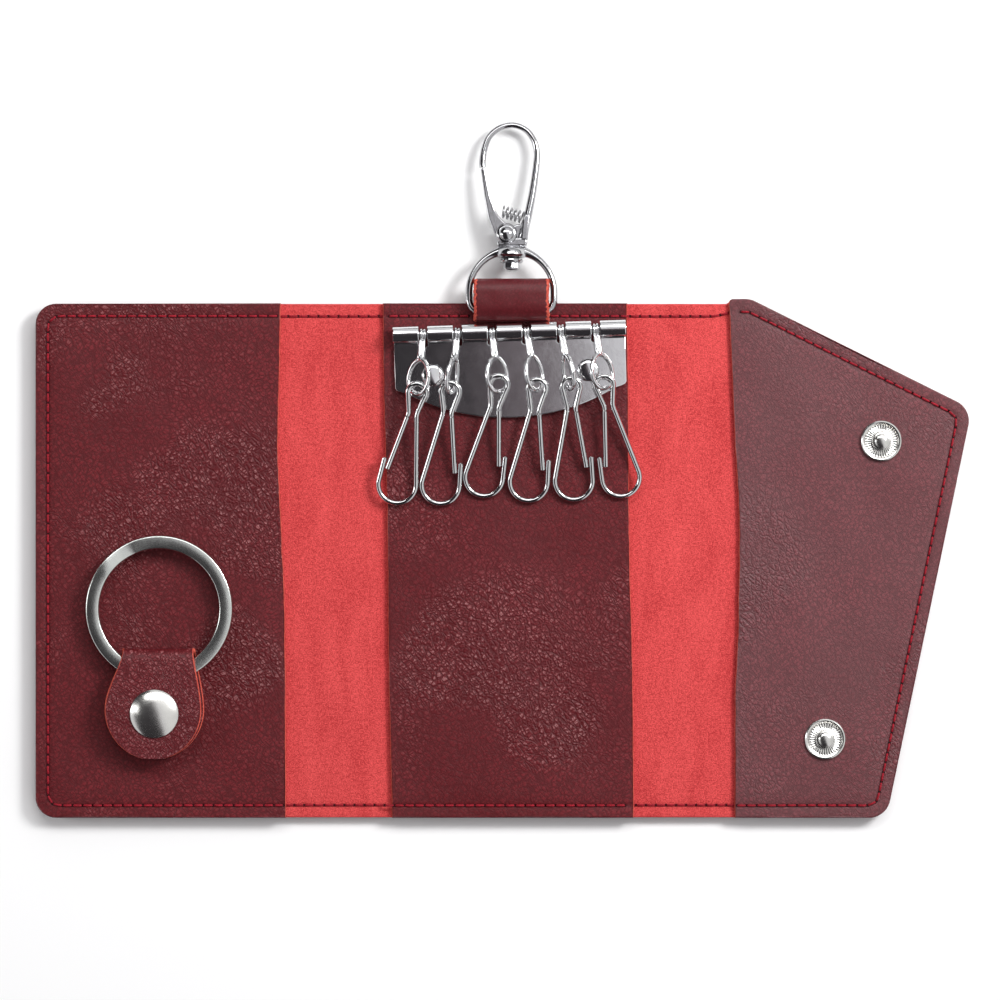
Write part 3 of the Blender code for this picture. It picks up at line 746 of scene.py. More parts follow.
def make_cover():
    """One sheet round the whole case, in pieces that meet in the middle of the strips, so that
    each piece spans one crease."""
    covers = []
    for side, creases, chain, away in (
        ("left", LEFT_CREASES, LEFT_CHAIN, -1),
        ("right", RIGHT_CREASES, RIGHT_CHAIN, 1),
    ):
        half_strip = abs(creases[1] - creases[0]) / 2
        spine = sorted((creases[0], creases[3]))
        joins = [0.0] + [crease + away * half_strip for crease in creases[:3]]
        names = (f"cover_middle_{side}", f"cover_{side}_fold_ab", f"cover_{side}_fold_bc")
        for index, name in enumerate(names):
            low_x, high_x = sorted(joins[index : index + 2])
            crease, bodies = creases[index], chain[index : index + 2]
            past = low_x - PAST_JOIN, high_x + PAST_JOIN
            outline = [(past[0], BOTTOM), (past[1], BOTTOM), (past[1], TOP), (past[0], TOP)]
            cuts = planes(1, BOTTOM, TOP, GRID) + groove_cuts(low_x, high_x)
            cuts += planes(0, crease - BEND, crease + BEND, FINE_GRID)
            cuts += planes(0, low_x, high_x, GRID)
            trims = [((low_x, 0, 0), (-1, 0, 0)), ((high_x, 0, 0), (1, 0, 0))]
            covers.append(cover_piece(name, plate(outline, 0, COVER, COVER_RIM), cuts, trims,
                                      spine, bodies, crease, away, low_x, high_x))
        covers.append(make_cover_end(side, joins[3], creases[3], chain[3:], away, spine))
    return covers


def panel_outline(side, edge_points, shoulder=()):
    """The outline of an outer panel, with its inner edge given from top to bottom."""
    if side == "left":
        inner = [(x, y, 0) for x, y in reversed(edge_points)]
        return rounded([(LEFT, TOP, CORNER), (LEFT, BOTTOM, CORNER), *inner])
    corners = [(x, y, FLAP_TOP_CORNER if i == 0 else 0) for i, (x, y) in enumerate(edge_points)]
    corners += [(FLAP_FOOT_X, BOTTOM, FLAP_CORNER), (*FLAP_PEAK, FLAP_CORNER), *shoulder]
    return rounded(corners)


def make_cover_end(side, join, crease, bodies, away, spine):
    """The cover of an outer panel, from the last join to the panel's outer edge."""
    name, top, shoulder = "cover_left", TOP, []
    edge = [(join - away * PAST_JOIN, TOP), (join - away * PAST_JOIN, BOTTOM)]
    if side == "right":
        name, top = "cover_flap", FLAP_TOP
        edge = [(TOP_STEP_X[1], top), (TOP_STEP_X[0], TOP), *edge]
        shoulder = [(FLAP_SHOULDER[0] - 0.2, top, FLAP_SHOULDER[2])]
    outline = panel_outline(side, edge, shoulder)
    xs = [x for x, _ in outline if (x - join) * away >= 0] + [join]
    low_x, high_x = min(xs), max(xs)
    cuts = planes(0, low_x, high_x, GRID) + planes(1, BOTTOM, top, GRID)
    cuts += planes(0, crease - BEND, crease + BEND, FINE_GRID) + groove_cuts(low_x, high_x)
    return cover_piece(name, plate(outline, 0, COVER, COVER_RIM), cuts,
                       [((join, 0, 0), (-away, 0, 0))], spine, bodies, crease, away, low_x, high_x)


def make_liners():
    left = panel_outline("left", wandering_edge(LEFT_LINER_EDGE))
    middle = wandering_edge(MIDDLE_LEFT_EDGE) + wandering_edge(MIDDLE_RIGHT_EDGE)
    flap = panel_outline("right", wandering_edge(FLAP_LINER_EDGE), [FLAP_SHOULDER])
    return (
        liner_piece("left_pocket_liner", left, "left_panel", LINER_LOOK, SEEDS[0], 60),
        liner_piece("middle_liner", middle, "middle_panel", LINER_LOOK, SEEDS[1], math.inf),
        liner_piece("flap_liner", flap, "flap", FLAP_LOOK, SEEDS[2], 60),
    )


def liner_piece(node, outline, body, look, seed, raw_within):
    """A liner. Its inner edge is raw and coral; the others are dyed with the leather."""
    xs, ys = [x for x, _ in outline], [y for _, y in outline]
    cuts = planes(0, min(xs), max(xs), GRID) + planes(1, min(ys), max(ys), GRID)
    cuts += groove_cuts(min(xs), max(xs))

    def choose(centre, normal):
        if abs(normal.z) > 0.75:
            return 0
        return 1 if abs(normal.x) > 0.6 and abs(centre.x) < raw_within else 2

    return piece(f"{node}_leather", plate(outline, LINER_LOW, LINER_HIGH, LINER_RIM),
                 [look, RAW_CORAL, RAW_DARK], body, node, cuts=cuts,
                 shift=uneven(LINER_LOW, LINER_HIGH, LINER_LIFT, seed), choose=choose)


# ---------------------------------------------------------------- stitches


STITCH_HEIGHTS = (
    (0.0, -0.20), (0.10, 0.04), (0.30, 0.18), (0.70, 0.18), (0.90, 0.04), (1.0, -0.20)
)


def stitch_shapes(a, b, surface, up):
    """One stitch: a thread that dips into its two holes, and the holes themselves as short
    near-black plugs, whose colour is painted shade.
    """
    along = (b - a).normalized()
    points = [(*(a + (b - a) * share), surface + up * height) for share, height in STITCH_HEIGHTS]
    strand = tube(points, THREAD_R, 8, blunt=0)
    holes = []
    circle = arc((0, 0), HOLE_R, 0, 315, 7)
    for spot in (a - along * HOLE_PAST_END, b + along * HOLE_PAST_END):
        rim = [(*(spot + Vector(p)), surface + up * HOLE_LIFT) for p in circle]
        rim_low = [(x, y, z - up * HOLE_DEEP) for x, y, z in rim]
        count = len(rim)
        sides = [(i, (i + 1) % count, count + (i + 1) % count, count + i) for i in range(count)]
        caps = [tuple(range(count)), tuple(range(2 * count - 1, count - 1, -1))]
        holes.append(([Vector(p) for p in rim + rim_low], sides + caps))
    return strand, holes


def stitch_places():
    """Both ends of each stitch round the case."""
    line = STITCHING + [STITCHING[0]]
    lengths = [0.0]
    for start, end in zip(line, line[1:]):
        lengths.append(lengths[-1] + (Vector(end) - Vector(start)).length)
    count = round(lengths[-1] / STITCH_PITCH)
    pitch = lengths[-1] / count

    def at(distance):
        index = next(i for i in range(len(line) - 1) if lengths[i + 1] >= distance - 1e-9)
        share = (distance - lengths[index]) / max(lengths[index + 1] - lengths[index], 1e-9)
        return Vector(line[index]).lerp(Vector(line[index + 1]), share)

    start, end = STITCH_SPAN
    return [(at(i * pitch + start * pitch), at((i + end) * pitch)) for i in range(count)]


# Where each liner covers the line of stitches: lowest x, highest x and seed
LINER_SPANS = ((LEFT, -52.6, SEEDS[0]), (-28.8, 28.2, SEEDS[1]), (53.2, 120, SEEDS[2]))


def surface_under(x, y):
    """The height of the upper face that a stitch sits on."""
    for low, high, seed in LINER_SPANS:
        if low <= x <= high:
            return LINER_HIGH + min(LINER_LIFT * ripple(x, y, seed), MOST_LIFT)
    return COVER + COVER_LIFT * ripple(x, y, COVER_SEED)


def make_stitches(covers):
    """Saddle stitch, in one group for each piece of the cover that it goes with."""
    strap_low, strap_high = node_box("clasp_strap")
    groups = {cover: ([], []) for cover in covers}
    for a, b in stitch_places():
        middle = (a + b) / 2
        owner = next((c for c in covers if c.low_x <= middle.x <= c.high_x), covers[-1])
        sides = [(surface_under(*middle), 1), (COVER_LIFT * ripple(*middle, COVER_SEED), -1)]
        under_strap = strap_low.x - 1 < middle.x < strap_high.x + 1 and middle.y > 0
        for surface, up in sides[1:] if under_strap else sides:
            strand, holes = stitch_shapes(a, b, surface, up)
            groups[owner][0].append(strand)
            groups[owner][1].extend(holes)
    for cover, shapes in groups.items():
        for kind, more, look in zip(("thread", "holes"), shapes, (THREAD, NEEDLE_HOLE_SHADE)):
            if more:
                bend_with(piece(f"{cover.obj.name}_{kind}", merged(*more), look), cover)


# ---------------------------------------------------------------- key row

HOOK_COUNT = 6
KNUCKLES = 7
KNUCKLE_R = 2.12
KNUCKLE_HALF = 3.02
KNUCKLE_BORE = 1.2
ROD_R = 0.62
PLATE_TOP = -1.42  # below the rod's axis
PLATE_HALF = 27.0
PLATE_BOW = -0.26
PLATE_LEVEL = 0.7  # the square of where along the plate it's neither raised nor lowered
RIVETS = (("left", (-18.05, -9.5), 2.4), ("right", (18.1, -9.45), 0.0))
RIVET_DOME = ((0, 0.60), (0.9, 0.59), (1.7, 0.53), (2.1, 0.44), (2.45, 0.24), (2.6, 0.02),
              (2.55, -0.20), (0.8, -0.20))
EYE_FOOT = 13.9
EYE_RISE = 1.76
HANGER_R = 0.40
EYE_WIRE_R = 0.45
# Each hanger's eye: how far it is turned out of the row's plane, and half its width
EYES = ((43, 3.55), (-65, 3.0), (-43, 3.5), (-52, 3.3), (66, 2.9), (-42, 3.6))
EYE_LONG = 4.0
STRAND_GAP = 0.38
STEM = ((0.28, 0.95), (0.5, 1.25), (0.75, 1.6), (0.93, EYE_RISE))  # share of the stem, height
CLIP_R = 0.61
CURL_R = 2.1
WAIST = Vector((0.95, -5.0, 0))
LOOP_AT = (0.4, -22.0)
LOOP_R = 4.4
LOOP_TIP = (4.45, -16.3)
GATE_TIP = Vector((3.36, -19.0, 0))
GATE_WAY = (GATE_TIP - WAIST).normalized()
GATE_ROOT = WAIST + GATE_WAY * 0.9


def basis(x_axis, y_axis, at):
    """A local frame from two axes and a place."""
    x, y = Vector(x_axis).normalized(), Vector(y_axis).normalized()
    return Matrix.Translation(at) @ Matrix((x, y, x.cross(y))).transposed().to_4x4()


def hanger_name(number):
    return f"hanger_{number}_swing"


def row_frame():
    """The middle of the row's rod, with X along the rod."""
    spots = [joint_at(hanger_name(n)) for n in range(1, HOOK_COUNT + 1)]
    along = joint_axis(hanger_name(1))
    return basis(along, Vector((0, 0, 1)).cross(along), sum(spots, Vector()) / len(spots))


ROW = row_frame()
KNUCKLE_PITCH = (joint_at(hanger_name(2)) - joint_at(hanger_name(1))).length


def knuckle_x(index):
    return (index - (KNUCKLES - 1) / 2) * KNUCKLE_PITCH


def make_knuckle_barrel(index):
    """A rolled knuckle, with rounded rims and a bore."""
    half, edge = KNUCKLE_HALF, 0.16
    rim = [(KNUCKLE_BORE, -half + 0.1), (KNUCKLE_BORE + 0.12, -half), (KNUCKLE_R - edge, -half),
           (KNUCKLE_R - 0.04, -half + 0.05), (KNUCKLE_R, -half + edge),
           (KNUCKLE_R, -half + edge + 0.08)]
    profile = rim + [(radius, -height) for radius, height in reversed(rim)]
    lying = Matrix.Rotation(math.radians(90), 4, "Y")
    spot = Matrix.Translation((knuckle_x(index), 0, 0)) @ lying
    return moved(lathe(profile, 56, closed=True), spot)


def plate_outline():
    """The plate's outline: an arc at its foot, and notches between the knuckles at the top."""
    foot = arc((0, 30.2), 50.2, -119.2, -60.8, 40)
    outline = [(-PLATE_HALF, -12.3), (-26.6, -12.9), (-25.6, -13.3), *foot]
    outline += [(25.6, -13.3), (26.6, -12.9), (PLATE_HALF, -12.3), (PLATE_HALF, -0.2)]
    notch = KNUCKLE_PITCH / 2 - KNUCKLE_HALF
    for index in reversed(range(KNUCKLES - 1)):
        x = knuckle_x(index + 0.5)
        outline += [(x + notch, -0.2), (x + notch, -2.5), (x + notch - 0.35, -2.85)]
        outline += [(x - notch + 0.35, -2.85), (x - notch, -2.5), (x - notch, -0.2)]
    return outline + [(-PLATE_HALF, -0.2)]


def bowed(point):
    """The pressed plate's slight bow."""
    along = (ROW.inverted() @ Vector(point)).x / PLATE_HALF
    return Vector((point.x, point.y, point.z + PLATE_BOW * (along**2 - PLATE_LEVEL)))


def seam_lip(x):
    """The free edge of a knuckle's roll, lying against the plate behind the rod."""
    return tube([(x + aside, 1.35, -1.62) for aside in (-2.75, 0, 2.75)], 0.26, 10)


def make_key_plate():
    shapes = [make_knuckle_barrel(index) for index in range(KNUCKLES)]
    shapes.append(plate(plate_outline(), -KNUCKLE_R, PLATE_TOP, 0.18))
    shapes.append(merged(*[seam_lip(knuckle_x(index)) for index in range(KNUCKLES)]))
    cuts = [(ROW @ Vector((x, 0, 0)), ROW.col[0].to_3d()) for x in range(-26, 27, 2)]
    piece("key_plate_chrome", merged(*shapes), CHROME, "middle_panel", "key_plate", ROW, cuts,
          bowed)
    end = PLATE_HALF - 0.6
    rod = tube([(-end, 0, 0), (0, 0, 0), (end, 0, 0)], ROD_R, 32, blunt=0.25)
    piece("key_rod_steel", rod, SHADED_ROD_STEEL, "middle_panel", "key_rod", ROW)
    base, foot = PLATE_TOP + 0.3, 0.8 - ROW.translation.z
    dome = [(radius, base + height) for radius, height in RIVET_DOME] + [(0.8, foot), (0, foot)]
    for side, (x, y), tilt in RIVETS:
        spot = ROW @ Matrix.Translation((x, y, 0)) @ Matrix.Rotation(math.radians(tilt), 4, "Y")
        piece(f"plate_rivet_{side}_chrome", lathe(dome, 48), CHROME, "middle_panel",
              f"plate_rivet_{side}", spot)


def hanger_shape(twist, half_width, lean):
    """One wire: round the rod, down a doubled stem, round the eye, and back up."""
    direction = Vector((math.sin(lean), -math.cos(lean), 0))
    across = Vector((math.cos(lean), math.sin(lean), 0))
    out = across * math.cos(math.radians(twist)) + Vector((0, 0, math.sin(math.radians(twist))))
    rod_loop = ROD_R + HANGER_R + 0.06
    neck = EYE_FOOT - 2 * EYE_LONG
    centre = direction * (EYE_FOOT - EYE_LONG) + Vector((0, 0, EYE_RISE))

    def strand(sign):
        line = []
        for angle in range(-60, 151, 15):
            turn = math.radians(angle)
            spot = Vector((0, rod_loop * math.cos(turn), rod_loop * math.sin(turn)))
            line.append(spot + across * sign * STRAND_GAP)
        for share, height in STEM:
            spot = direction * neck * share + across * sign * STRAND_GAP
            line.append(spot + Vector((0, 0, height)))
        return line

    eye = []
    for step in range(1, 36):
        angle = 2 * math.pi * step / 36
        width = half_width * math.sin(angle) * (0.80 + 0.20 * math.sin(angle / 2) ** 2)
        eye.append(centre + out * width - direction * EYE_LONG * math.cos(angle))
    throat = direction * neck + Vector((0, 0, EYE_RISE))
    wire = [(*p, HANGER_R) for p in (*strand(1), eye[0] * 0.35 + throat * 0.65)]
    wire += [(*p, EYE_WIRE_R) for p in eye]
    wire += [(*p, HANGER_R) for p in (eye[-1] * 0.35 + throat * 0.65, *reversed(strand(-1)))]
    curve = smooth_line(wire, 2)
    collar = tube([direction * neck * 0.86 + Vector((0, 0, 1.68)),
                   direction * neck * 1.02 + Vector((0, 0, EYE_RISE))], 0.62, 20)
    return merged(tube([p[:3] for p in curve], [p[3] for p in curve], 12), collar)


def clip_frame(number):
    """(matrix, side) of a clip: its curl's centre, with the legs running down its own Y."""
    curl = joint_at(f"clip_{number}_swing")
    to_gate = joint_at(f"clip_{number}_gate") - curl
    up = joint_axis(f"clip_{number}_gate")
    side = 1 if up.z > 0 else -1
    up = up * side
    aim = to_gate.normalized()
    across = up.cross(aim)
    angle = math.atan2(WAIST.y, WAIST.x * side)
    x_axis = aim * math.cos(angle) - across * math.sin(angle)
    y_axis = aim * math.sin(angle) + across * math.cos(angle)
    return basis(x_axis, y_axis, curl), side


def clip_wire():
    """The curl, the long leg and the loop, as one wire up to the start of the gate leg."""
    curl = [Vector((x, y, 0)) for x, y in arc((0, 0), CURL_R, -25, 205, 26)]
    loop = [Vector((x, y, 0)) for x, y in arc(LOOP_AT, LOOP_R, 168, 358, 30)]
    far_waist, tip = Vector((-WAIST.x, WAIST.y, 0)), Vector((*LOOP_TIP, 0))
    return eased([GATE_ROOT, WAIST, *curl, far_waist, *loop, tip], 0.75, 4)


def make_hooks():
    mirror = Matrix.Diagonal((-1, 1, 1, 1))
    gate_leg = [GATE_ROOT.lerp(GATE_TIP, t) for t in (0, 0.05, 0.1, 0.15, 0.2, 0.3, 0.5, 0.75, 1)]
    for number, (twist, half_width) in enumerate(EYES, 1):
        clip, hanger = f"clip_{number}", f"hanger_{number}"
        at = joint_at(hanger_name(number))
        to_clip = ROW.to_3x3().inverted() @ (joint_at(f"{clip}_swing") - at)
        shape = hanger_shape(twist, half_width, math.asin(to_clip.x / EYE_FOOT))
        spot = basis(joint_axis(hanger_name(number)), ROW.col[1].to_3d(), at)
        piece(f"hook_{hanger}_wire", shape, CHROME, hanger, f"hook_{hanger}", spot)
        spot, side = clip_frame(number)
        if side < 0:
            spot = spot @ mirror
        wire = tube(clip_wire(), CLIP_R)
        piece(f"key_{clip}_wire", wire, WIRE_CHROME, clip, f"key_{clip}", spot)
        gate = piece(f"key_clip_gate_{number}_wire", tube(gate_leg, CLIP_R), WIRE_CHROME, None,
                     f"key_clip_gate_{number}", spot)
        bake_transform(gate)


# ---------------------------------------------------------------- split ring and tab

RING_WIDE = 3.05
RING_END = 115.0
RING_STEP_DEG = 34.0
RING_TURNS_DEG = 720.0 - 12.0
RING_SECTIONS = 236
TAB_X = (-89.7, -72.8)
TAB_FOLD_Y = -20.5
TAB_LOBE = (-82.4, -34.7, 11.6)
TAB_WAIST = 1.6  # how far above the lobe's centre its circle ends
TAB_SNAP = (-82.1, -35.5)
TAB_LAYER = 1.15
TAB_BEVEL = (0.22, 0.24)
TAB_TIP_HALF, TAB_LEAST_HALF = 0.7, 0.5
TAB_UPPER_INSET = 0.4  # how much narrower the upper layer is, at each side
TAB_COLUMNS = 14


def ribbon(rows):
    """(vertices, faces) of a strip. Rows are the outlines of one section after another."""
    size = len(rows), len(rows[0])
    return [point for row in rows for point in row], quads(*size) + lids(*size)


def soft_step(share):
    return share * share * (3 - 2 * share)


def make_split_ring():
    """Two flat turns of spring wire. The upper turn ends in a step, where the wire drops."""
    low, high = node_box("split_ring")
    ring = joint_at("ring_turn")
    thick = (high.z - low.z) / 2 - 0.02
    middle_r = (high.x - low.x) / 2 - RING_WIDE / 2
    wide, tall = RING_WIDE / 2, thick / 2
    corners = ((-wide, -tall), (wide, -tall), (wide, tall), (-wide, tall))
    profile = rounded([(x, y, 0.36) for x, y in corners], 3)
    rows = []
    for step in range(RING_SECTIONS + 1):
        travelled = RING_TURNS_DEG * step / RING_SECTIONS
        angle = math.radians(RING_END - 2.0 - travelled)
        drop = (travelled - (360.0 - RING_STEP_DEG)) / RING_STEP_DEG
        drop = soft_step(clamped(drop))
        height = (high.z - tall) * (1 - drop) + (low.z + tall) * drop
        x, y = math.cos(angle), math.sin(angle)
        centre = Vector((ring.x + middle_r * x, ring.y + middle_r * y, height))
        outwards = Vector((x, y, 0))
        rows.append([centre + outwards * across + Vector((0, 0, up)) for across, up in profile])
    piece("split_ring_wire", ribbon(rows), SATIN_NICKEL, "key_ring", "split_ring", sharp=50)


def half_width_at(y):
    """How far the tab reaches to the left and right at a place along it."""
    x, centre_y, radius = TAB_LOBE
    if y > centre_y + TAB_WAIST:
        share = clamped((TAB_FOLD_Y - y) / (TAB_FOLD_Y - centre_y - TAB_WAIST))
        curve = soft_step(share) * 0.55 + share * 0.45
        lobe = math.sqrt(radius * radius - TAB_WAIST * TAB_WAIST)
        return (TAB_X[0] + (x - lobe - TAB_X[0]) * curve, TAB_X[1] + (x + lobe - TAB_X[1]) * curve)
    reach = math.sqrt(max(0.0, radius * radius - (y - centre_y) ** 2))
    return x - reach, x + reach


def tab_run():
    """The tab's middle line in (y, z), from its lower end round the fold to its upper end."""
    low = node_box("ring_tab_base")[0].z + TAB_LAYER / 2
    high = node_box("ring_tab_flap")[1].z - TAB_LAYER / 2
    foot = TAB_LOBE[1] - TAB_LOBE[2]
    bend = (high - low) / 2
    bend_y = TAB_FOLD_Y - bend - TAB_LAYER / 2 + 0.15
    run = [(y, low) for y in reversed(spread_between(bend_y, foot, 26))]
    run += [(bend_y + bend * math.sin(a), low + bend - bend * math.cos(a))
            for a in (math.pi * i / 16 for i in range(1, 16))]
    return run + [(y, high) for y in spread_between(bend_y, foot + 0.35, 26)]


def spread_between(start, end, count):
    """Places from start to end that crowd together near the end."""
    return [start + (end - start) * math.sin(math.pi / 2 * i / count) for i in range(count + 1)]


def along_run(run):
    """Each point of a strap's (y, z) line, with the direction at right angles to it."""
    for index, (y, z) in enumerate(run):
        before, after = run[max(index - 1, 0)], run[min(index + 1, len(run) - 1)]
        along = Vector((after[0] - before[0], after[1] - before[1])).normalized()
        yield index, y, z, Vector((0, -along.y, along.x))


def run_length(run):
    return sum((Vector(b) - Vector(a)).length for a, b in zip(run, run[1:]))


def make_tab():
    """One strap folded over the ring, in two layers; the upper layer is a little narrower."""
    run = tab_run()
    thick, middle_x = TAB_LAYER / 2, TAB_LOBE[0]
    bevel_x, bevel_z = TAB_BEVEL
    rows = []
    for index, y, z, normal in along_run(run):
        left, right = half_width_at(min(y, TAB_FOLD_Y))
        if index in (0, len(run) - 1):
            left, right = middle_x - TAB_TIP_HALF, middle_x + TAB_TIP_HALF
        shrink = TAB_UPPER_INSET if index > len(run) // 2 else 0.0
        left = min(left + shrink, middle_x - TAB_LEAST_HALF)
        right = max(right - shrink, middle_x + TAB_LEAST_HALF)
        inner = [left + (right - left) * i / TAB_COLUMNS for i in range(1, TAB_COLUMNS)]
        first, last, side = left + bevel_x, right - bevel_x, thick - bevel_z
        outline = [(first, thick), *((x, thick) for x in inner), (last, thick), (right, side),
                   (right, -side), (last, -thick), *((x, -thick) for x in reversed(inner)),
                   (first, -thick), (left, -side), (left, side)]
        rows.append([Vector((x, y, z)) + normal * up for x, up in outline])

    def choose(centre, normal):
        return 1 if abs(normal.x) > 0.35 or (normal.y < -0.35 and centre.y < TAB_LOBE[1]) else 0

    made = piece("ring_tab_leather", ribbon(rows), [TAB_LOOK, RAW_CORAL], None,
                 ("ring_tab_base", "ring_tab_flap"), choose=choose)
    low, high = (
        (TAB_SNAP[0] * MM, TAB_FOLD_Y * MM, (joint_at("tab_unsnap").z + away) * MM)
        for away in (-1.1, 1.1)
    )
    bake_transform(made)
    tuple(low)
    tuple(high)
    width, length = 2 * TAB_LOBE[2], run_length(run)


def stud_profile(base, base_r, tip):
    """A male snap: a rimmed flange, a stepped post and a swollen tip."""
    return [
        (0, tip), (0.75, tip - 0.03), (1.25, tip - 0.18), (1.62, tip - 0.42), (1.66, tip - 0.66),
        (1.38, tip - 1.02), (1.38, base + 1.15), (1.95, base + 0.98), (2.05, base + 0.60),
        (2.4, base + 0.40), (base_r - 1.0, base + 0.34), (base_r - 0.66, base + 0.62),
        (base_r - 0.36, base + 0.68), (base_r - 0.06, base + 0.50), (base_r, base + 0.25),
        (base_r - 0.05, base), (0, base),
    ]


RIB_HEIGHT, RIB_COUNT, RIBBED = 0.055, 36, (2.3, 3.65)


def rib(angle, radius):
    """Radial ribs on a snap's flange, between two radii."""
    ribbed = RIBBED[0] < radius < RIBBED[1]
    return RIB_HEIGHT * math.cos(RIB_COUNT * angle) if ribbed else 0.0


def over(node):
    """Upright, on the middle of a CAD node."""
    low, high = node_box(node)
    return Matrix.Translation(((low.x + high.x) / 2, (low.y + high.y) / 2, 0))


FLAP_CAP = ((0, 0.8), (1.2, 0.8), (1.2, -0.25), (4.5, -0.25), (4.82, -0.38), (4.9, -0.56),
            (4.6, -0.76), (3.8, -0.93), (2.4, -1.04), (0, -1.1))
COVER_SOCKET = ((0, 1.05), (3.2, 1.05), (3.2, -0.25), (5.1, -0.25), (5.4, -0.45), (5.5, -0.72),
                (5.35, -1.1), (4.9, -1.5), (4.5, -1.6), (4.1, -1.48), (3.8, -1.2), (3.2, -1.18),
                (2.9, -1.45), (2.6, -1.55), (2.3, -1.4), (2.2, -1.15), (2.2, 0.5), (0, 0.5))
TAB_CAP = ((0, 9.7), (0.9, 9.68), (1.8, 9.6), (2.7, 9.45), (3.6, 9.24), (4.4, 8.98), (5.0, 8.72),
           (5.4, 8.52), (5.6, 8.36), (5.55, 8.22), (5.3, 8.12), (1.1, 8.12), (1.1, 7.1), (0, 7.1))
TAB_SOCKET = ((2.4, 6.85), (4.4, 6.85), (4.75, 6.5), (4.8, 6.2), (4.6, 5.5), (4.2, 5.15),
              (3.6, 5.1), (3.1, 5.25), (2.5, 5.15), (2.1, 5.3), (2.1, 6.7), (1.4, 6.9),
              (1.4, 7.9), (2.4, 7.9))
TAB_STUD_R = 4.2


def make_snaps():
    for name in ("upper", "lower"):
        stud, socket = f"flap_snap_stud_{name}", f"cover_snap_socket_{name}"
        low, high = node_box(stud)
        profile = stud_profile(low.z, (high.x - low.x) / 2, high.z)
        dish = [(2.8, low.z + 0.36), (3.2, low.z + 0.33), (3.6, low.z + 0.33)]
        shape = lathe(profile[:10] + dish + profile[10:], 144, relief=rib)
        piece(f"flap_stud_{name}_nickel", shape, NICKEL, "flap", stud, over(stud))
        piece(f"flap_cap_{name}_nickel", lathe(FLAP_CAP, 72), NICKEL, "flap",
              f"flap_snap_cap_{name}", over(stud))
        piece(f"cover_socket_{name}_nickel", lathe(COVER_SOCKET, 72), NICKEL, "left_panel", socket,
              over(socket))
    spot = Matrix.Translation((*TAB_SNAP, 0))
    piece("tab_cap_nickel", lathe(TAB_CAP, 96), NICKEL, "ring_tab", "tab_snap_cap", spot)
    socket = lathe(TAB_SOCKET, 64, closed=True)
    piece("tab_socket_nickel", socket, NICKEL, "ring_tab", "tab_snap_socket", spot)
    low, high = node_box("tab_snap_stud")
    stud = lathe(stud_profile(low.z, TAB_STUD_R, high.z), 72, relief=rib)
    piece("tab_stud_nickel", stud, NICKEL, "left_panel", "tab_snap_stud", spot)


# ---------------------------------------------------------------- clasp and strap

STRAP_THICK = 0.95
STRAP_HALF = 8.75
STRAP_COLUMNS = 30
STRAP_CROWN, STRAP_BEVEL = 0.05, 0.2
FRAY, FRAY_NICK = 0.34, 0.20
RAW_EDGE = 0.62  # how far in from each side the raw edge shows
STRAP_RUN = (
    (56.2, 4.7), (56.25, 3.3), (58.5, 3.28), (61.0, 3.28), (63.0, 3.28), (64.35, 3.75),
    (65.1, 4.7), (65.1, 5.7), (64.4, 6.6), (63.1, 7.08), (61.4, 7.12), (59.4, 7.0), (58.2, 6.65),
    (57.1, 5.9), (56.35, 5.1),
)
DRING_R = 9.9
DRING_WIRE = 0.80
DRING_ARC_Y = 4.6
DRING_CORNER = 2.8
SHANK_R = 1.0
SWIVEL_DOME = ((SHANK_R + 0.3, 12.5), (2.5, 12.5), (3.1, 12.75), (3.5, 13.2), (3.45, 13.9),
               (3.1, 14.55), (2.6, 14.95), (2.2, 15.05), (SHANK_R + 0.3, 15.05))
WASHER = ((SHANK_R, 12.3), (2.4, 12.3), (2.7, 12.15), (2.75, 11.9), (2.55, 11.55), (SHANK_R, 11.5))
BUTTON = ((SHANK_R - 0.2, 11.55), (1.85, 11.55), (2.0, 11.3), (2.0, 10.2), (1.75, 9.85),
          (1.2, 9.6), (0, 9.6), (0, 11.55))
BUTTON_SIDES = 8
DRING_SWELL, SWELL_WIDE = 0.62, 4.2  # where the ring's wire thickens into the dome
ARM = (
    (2.45, 15.6, 1.12), (2.65, 17.4, 1.12), (3.25, 20.4, 1.08), (3.8, 22.4, 1.0),
    (5.0, 28.6, 0.9), (5.75, 34.1, 0.82), (5.95, 37.4, 0.76), (5.2, 40.4, 0.74), (3.3, 42.8, 0.72),
    (0.4, 43.9, 0.72), (-2.8, 43.2, 0.72), (-5.2, 41.1, 0.74), (-6.35, 38.1, 0.78),
    (-6.75, 35.3, 0.80), (-6.72, 33.9, 0.78),
)
# The hook's flat parts: corners, the radius of each, lowest and highest z, rim and its steps
HOOK_PLATES = (
    (((-3.3, 15.25), (3.55, 15.25), (3.7, 16.4), (3.4, 17.3), (-2.9, 17.3), (-3.4, 16.4)),
     0.45, -1.62, 1.25, 0.4, 4),
    (((-2.95, 16.2), (3.6, 16.2), (4.15, 20.7), (2.35, 20.9), (-2.9, 19.7)),
     0.5, -1.62, -0.5, 0.35, 3),
    (((2.05, 16.6), (3.75, 16.6), (4.35, 22.6), (3.15, 22.8), (2.55, 21.5)),
     0.4, -1.0, 1.35, 0.35, 3),
)
GATE_BLADE = (
    (-3.25, 16.7, 0.4), (-4.4, 19.2, 2.0), (-5.45, 22.0, 4.0), (-6.3, 26.7, 8.0),
    (-7.15, 33.3, 0.28), (-6.75, 33.75, 0.25), (-6.1, 33.3, 0.28), (-4.9, 27.0, 8.0),
    (-3.3, 22.6, 6.0), (-0.9, 20.3, 1.2), (0.6, 19.6, 0.8), (0.9, 17.6, 1.2), (-0.9, 16.35, 0.9),
)
GATE_BOSS = ((0, 1.75), (1.55, 1.75), (2.15, 1.62), (2.45, 1.3), (2.5, 0.9), (2.45, -0.4),
             (0, -0.4))
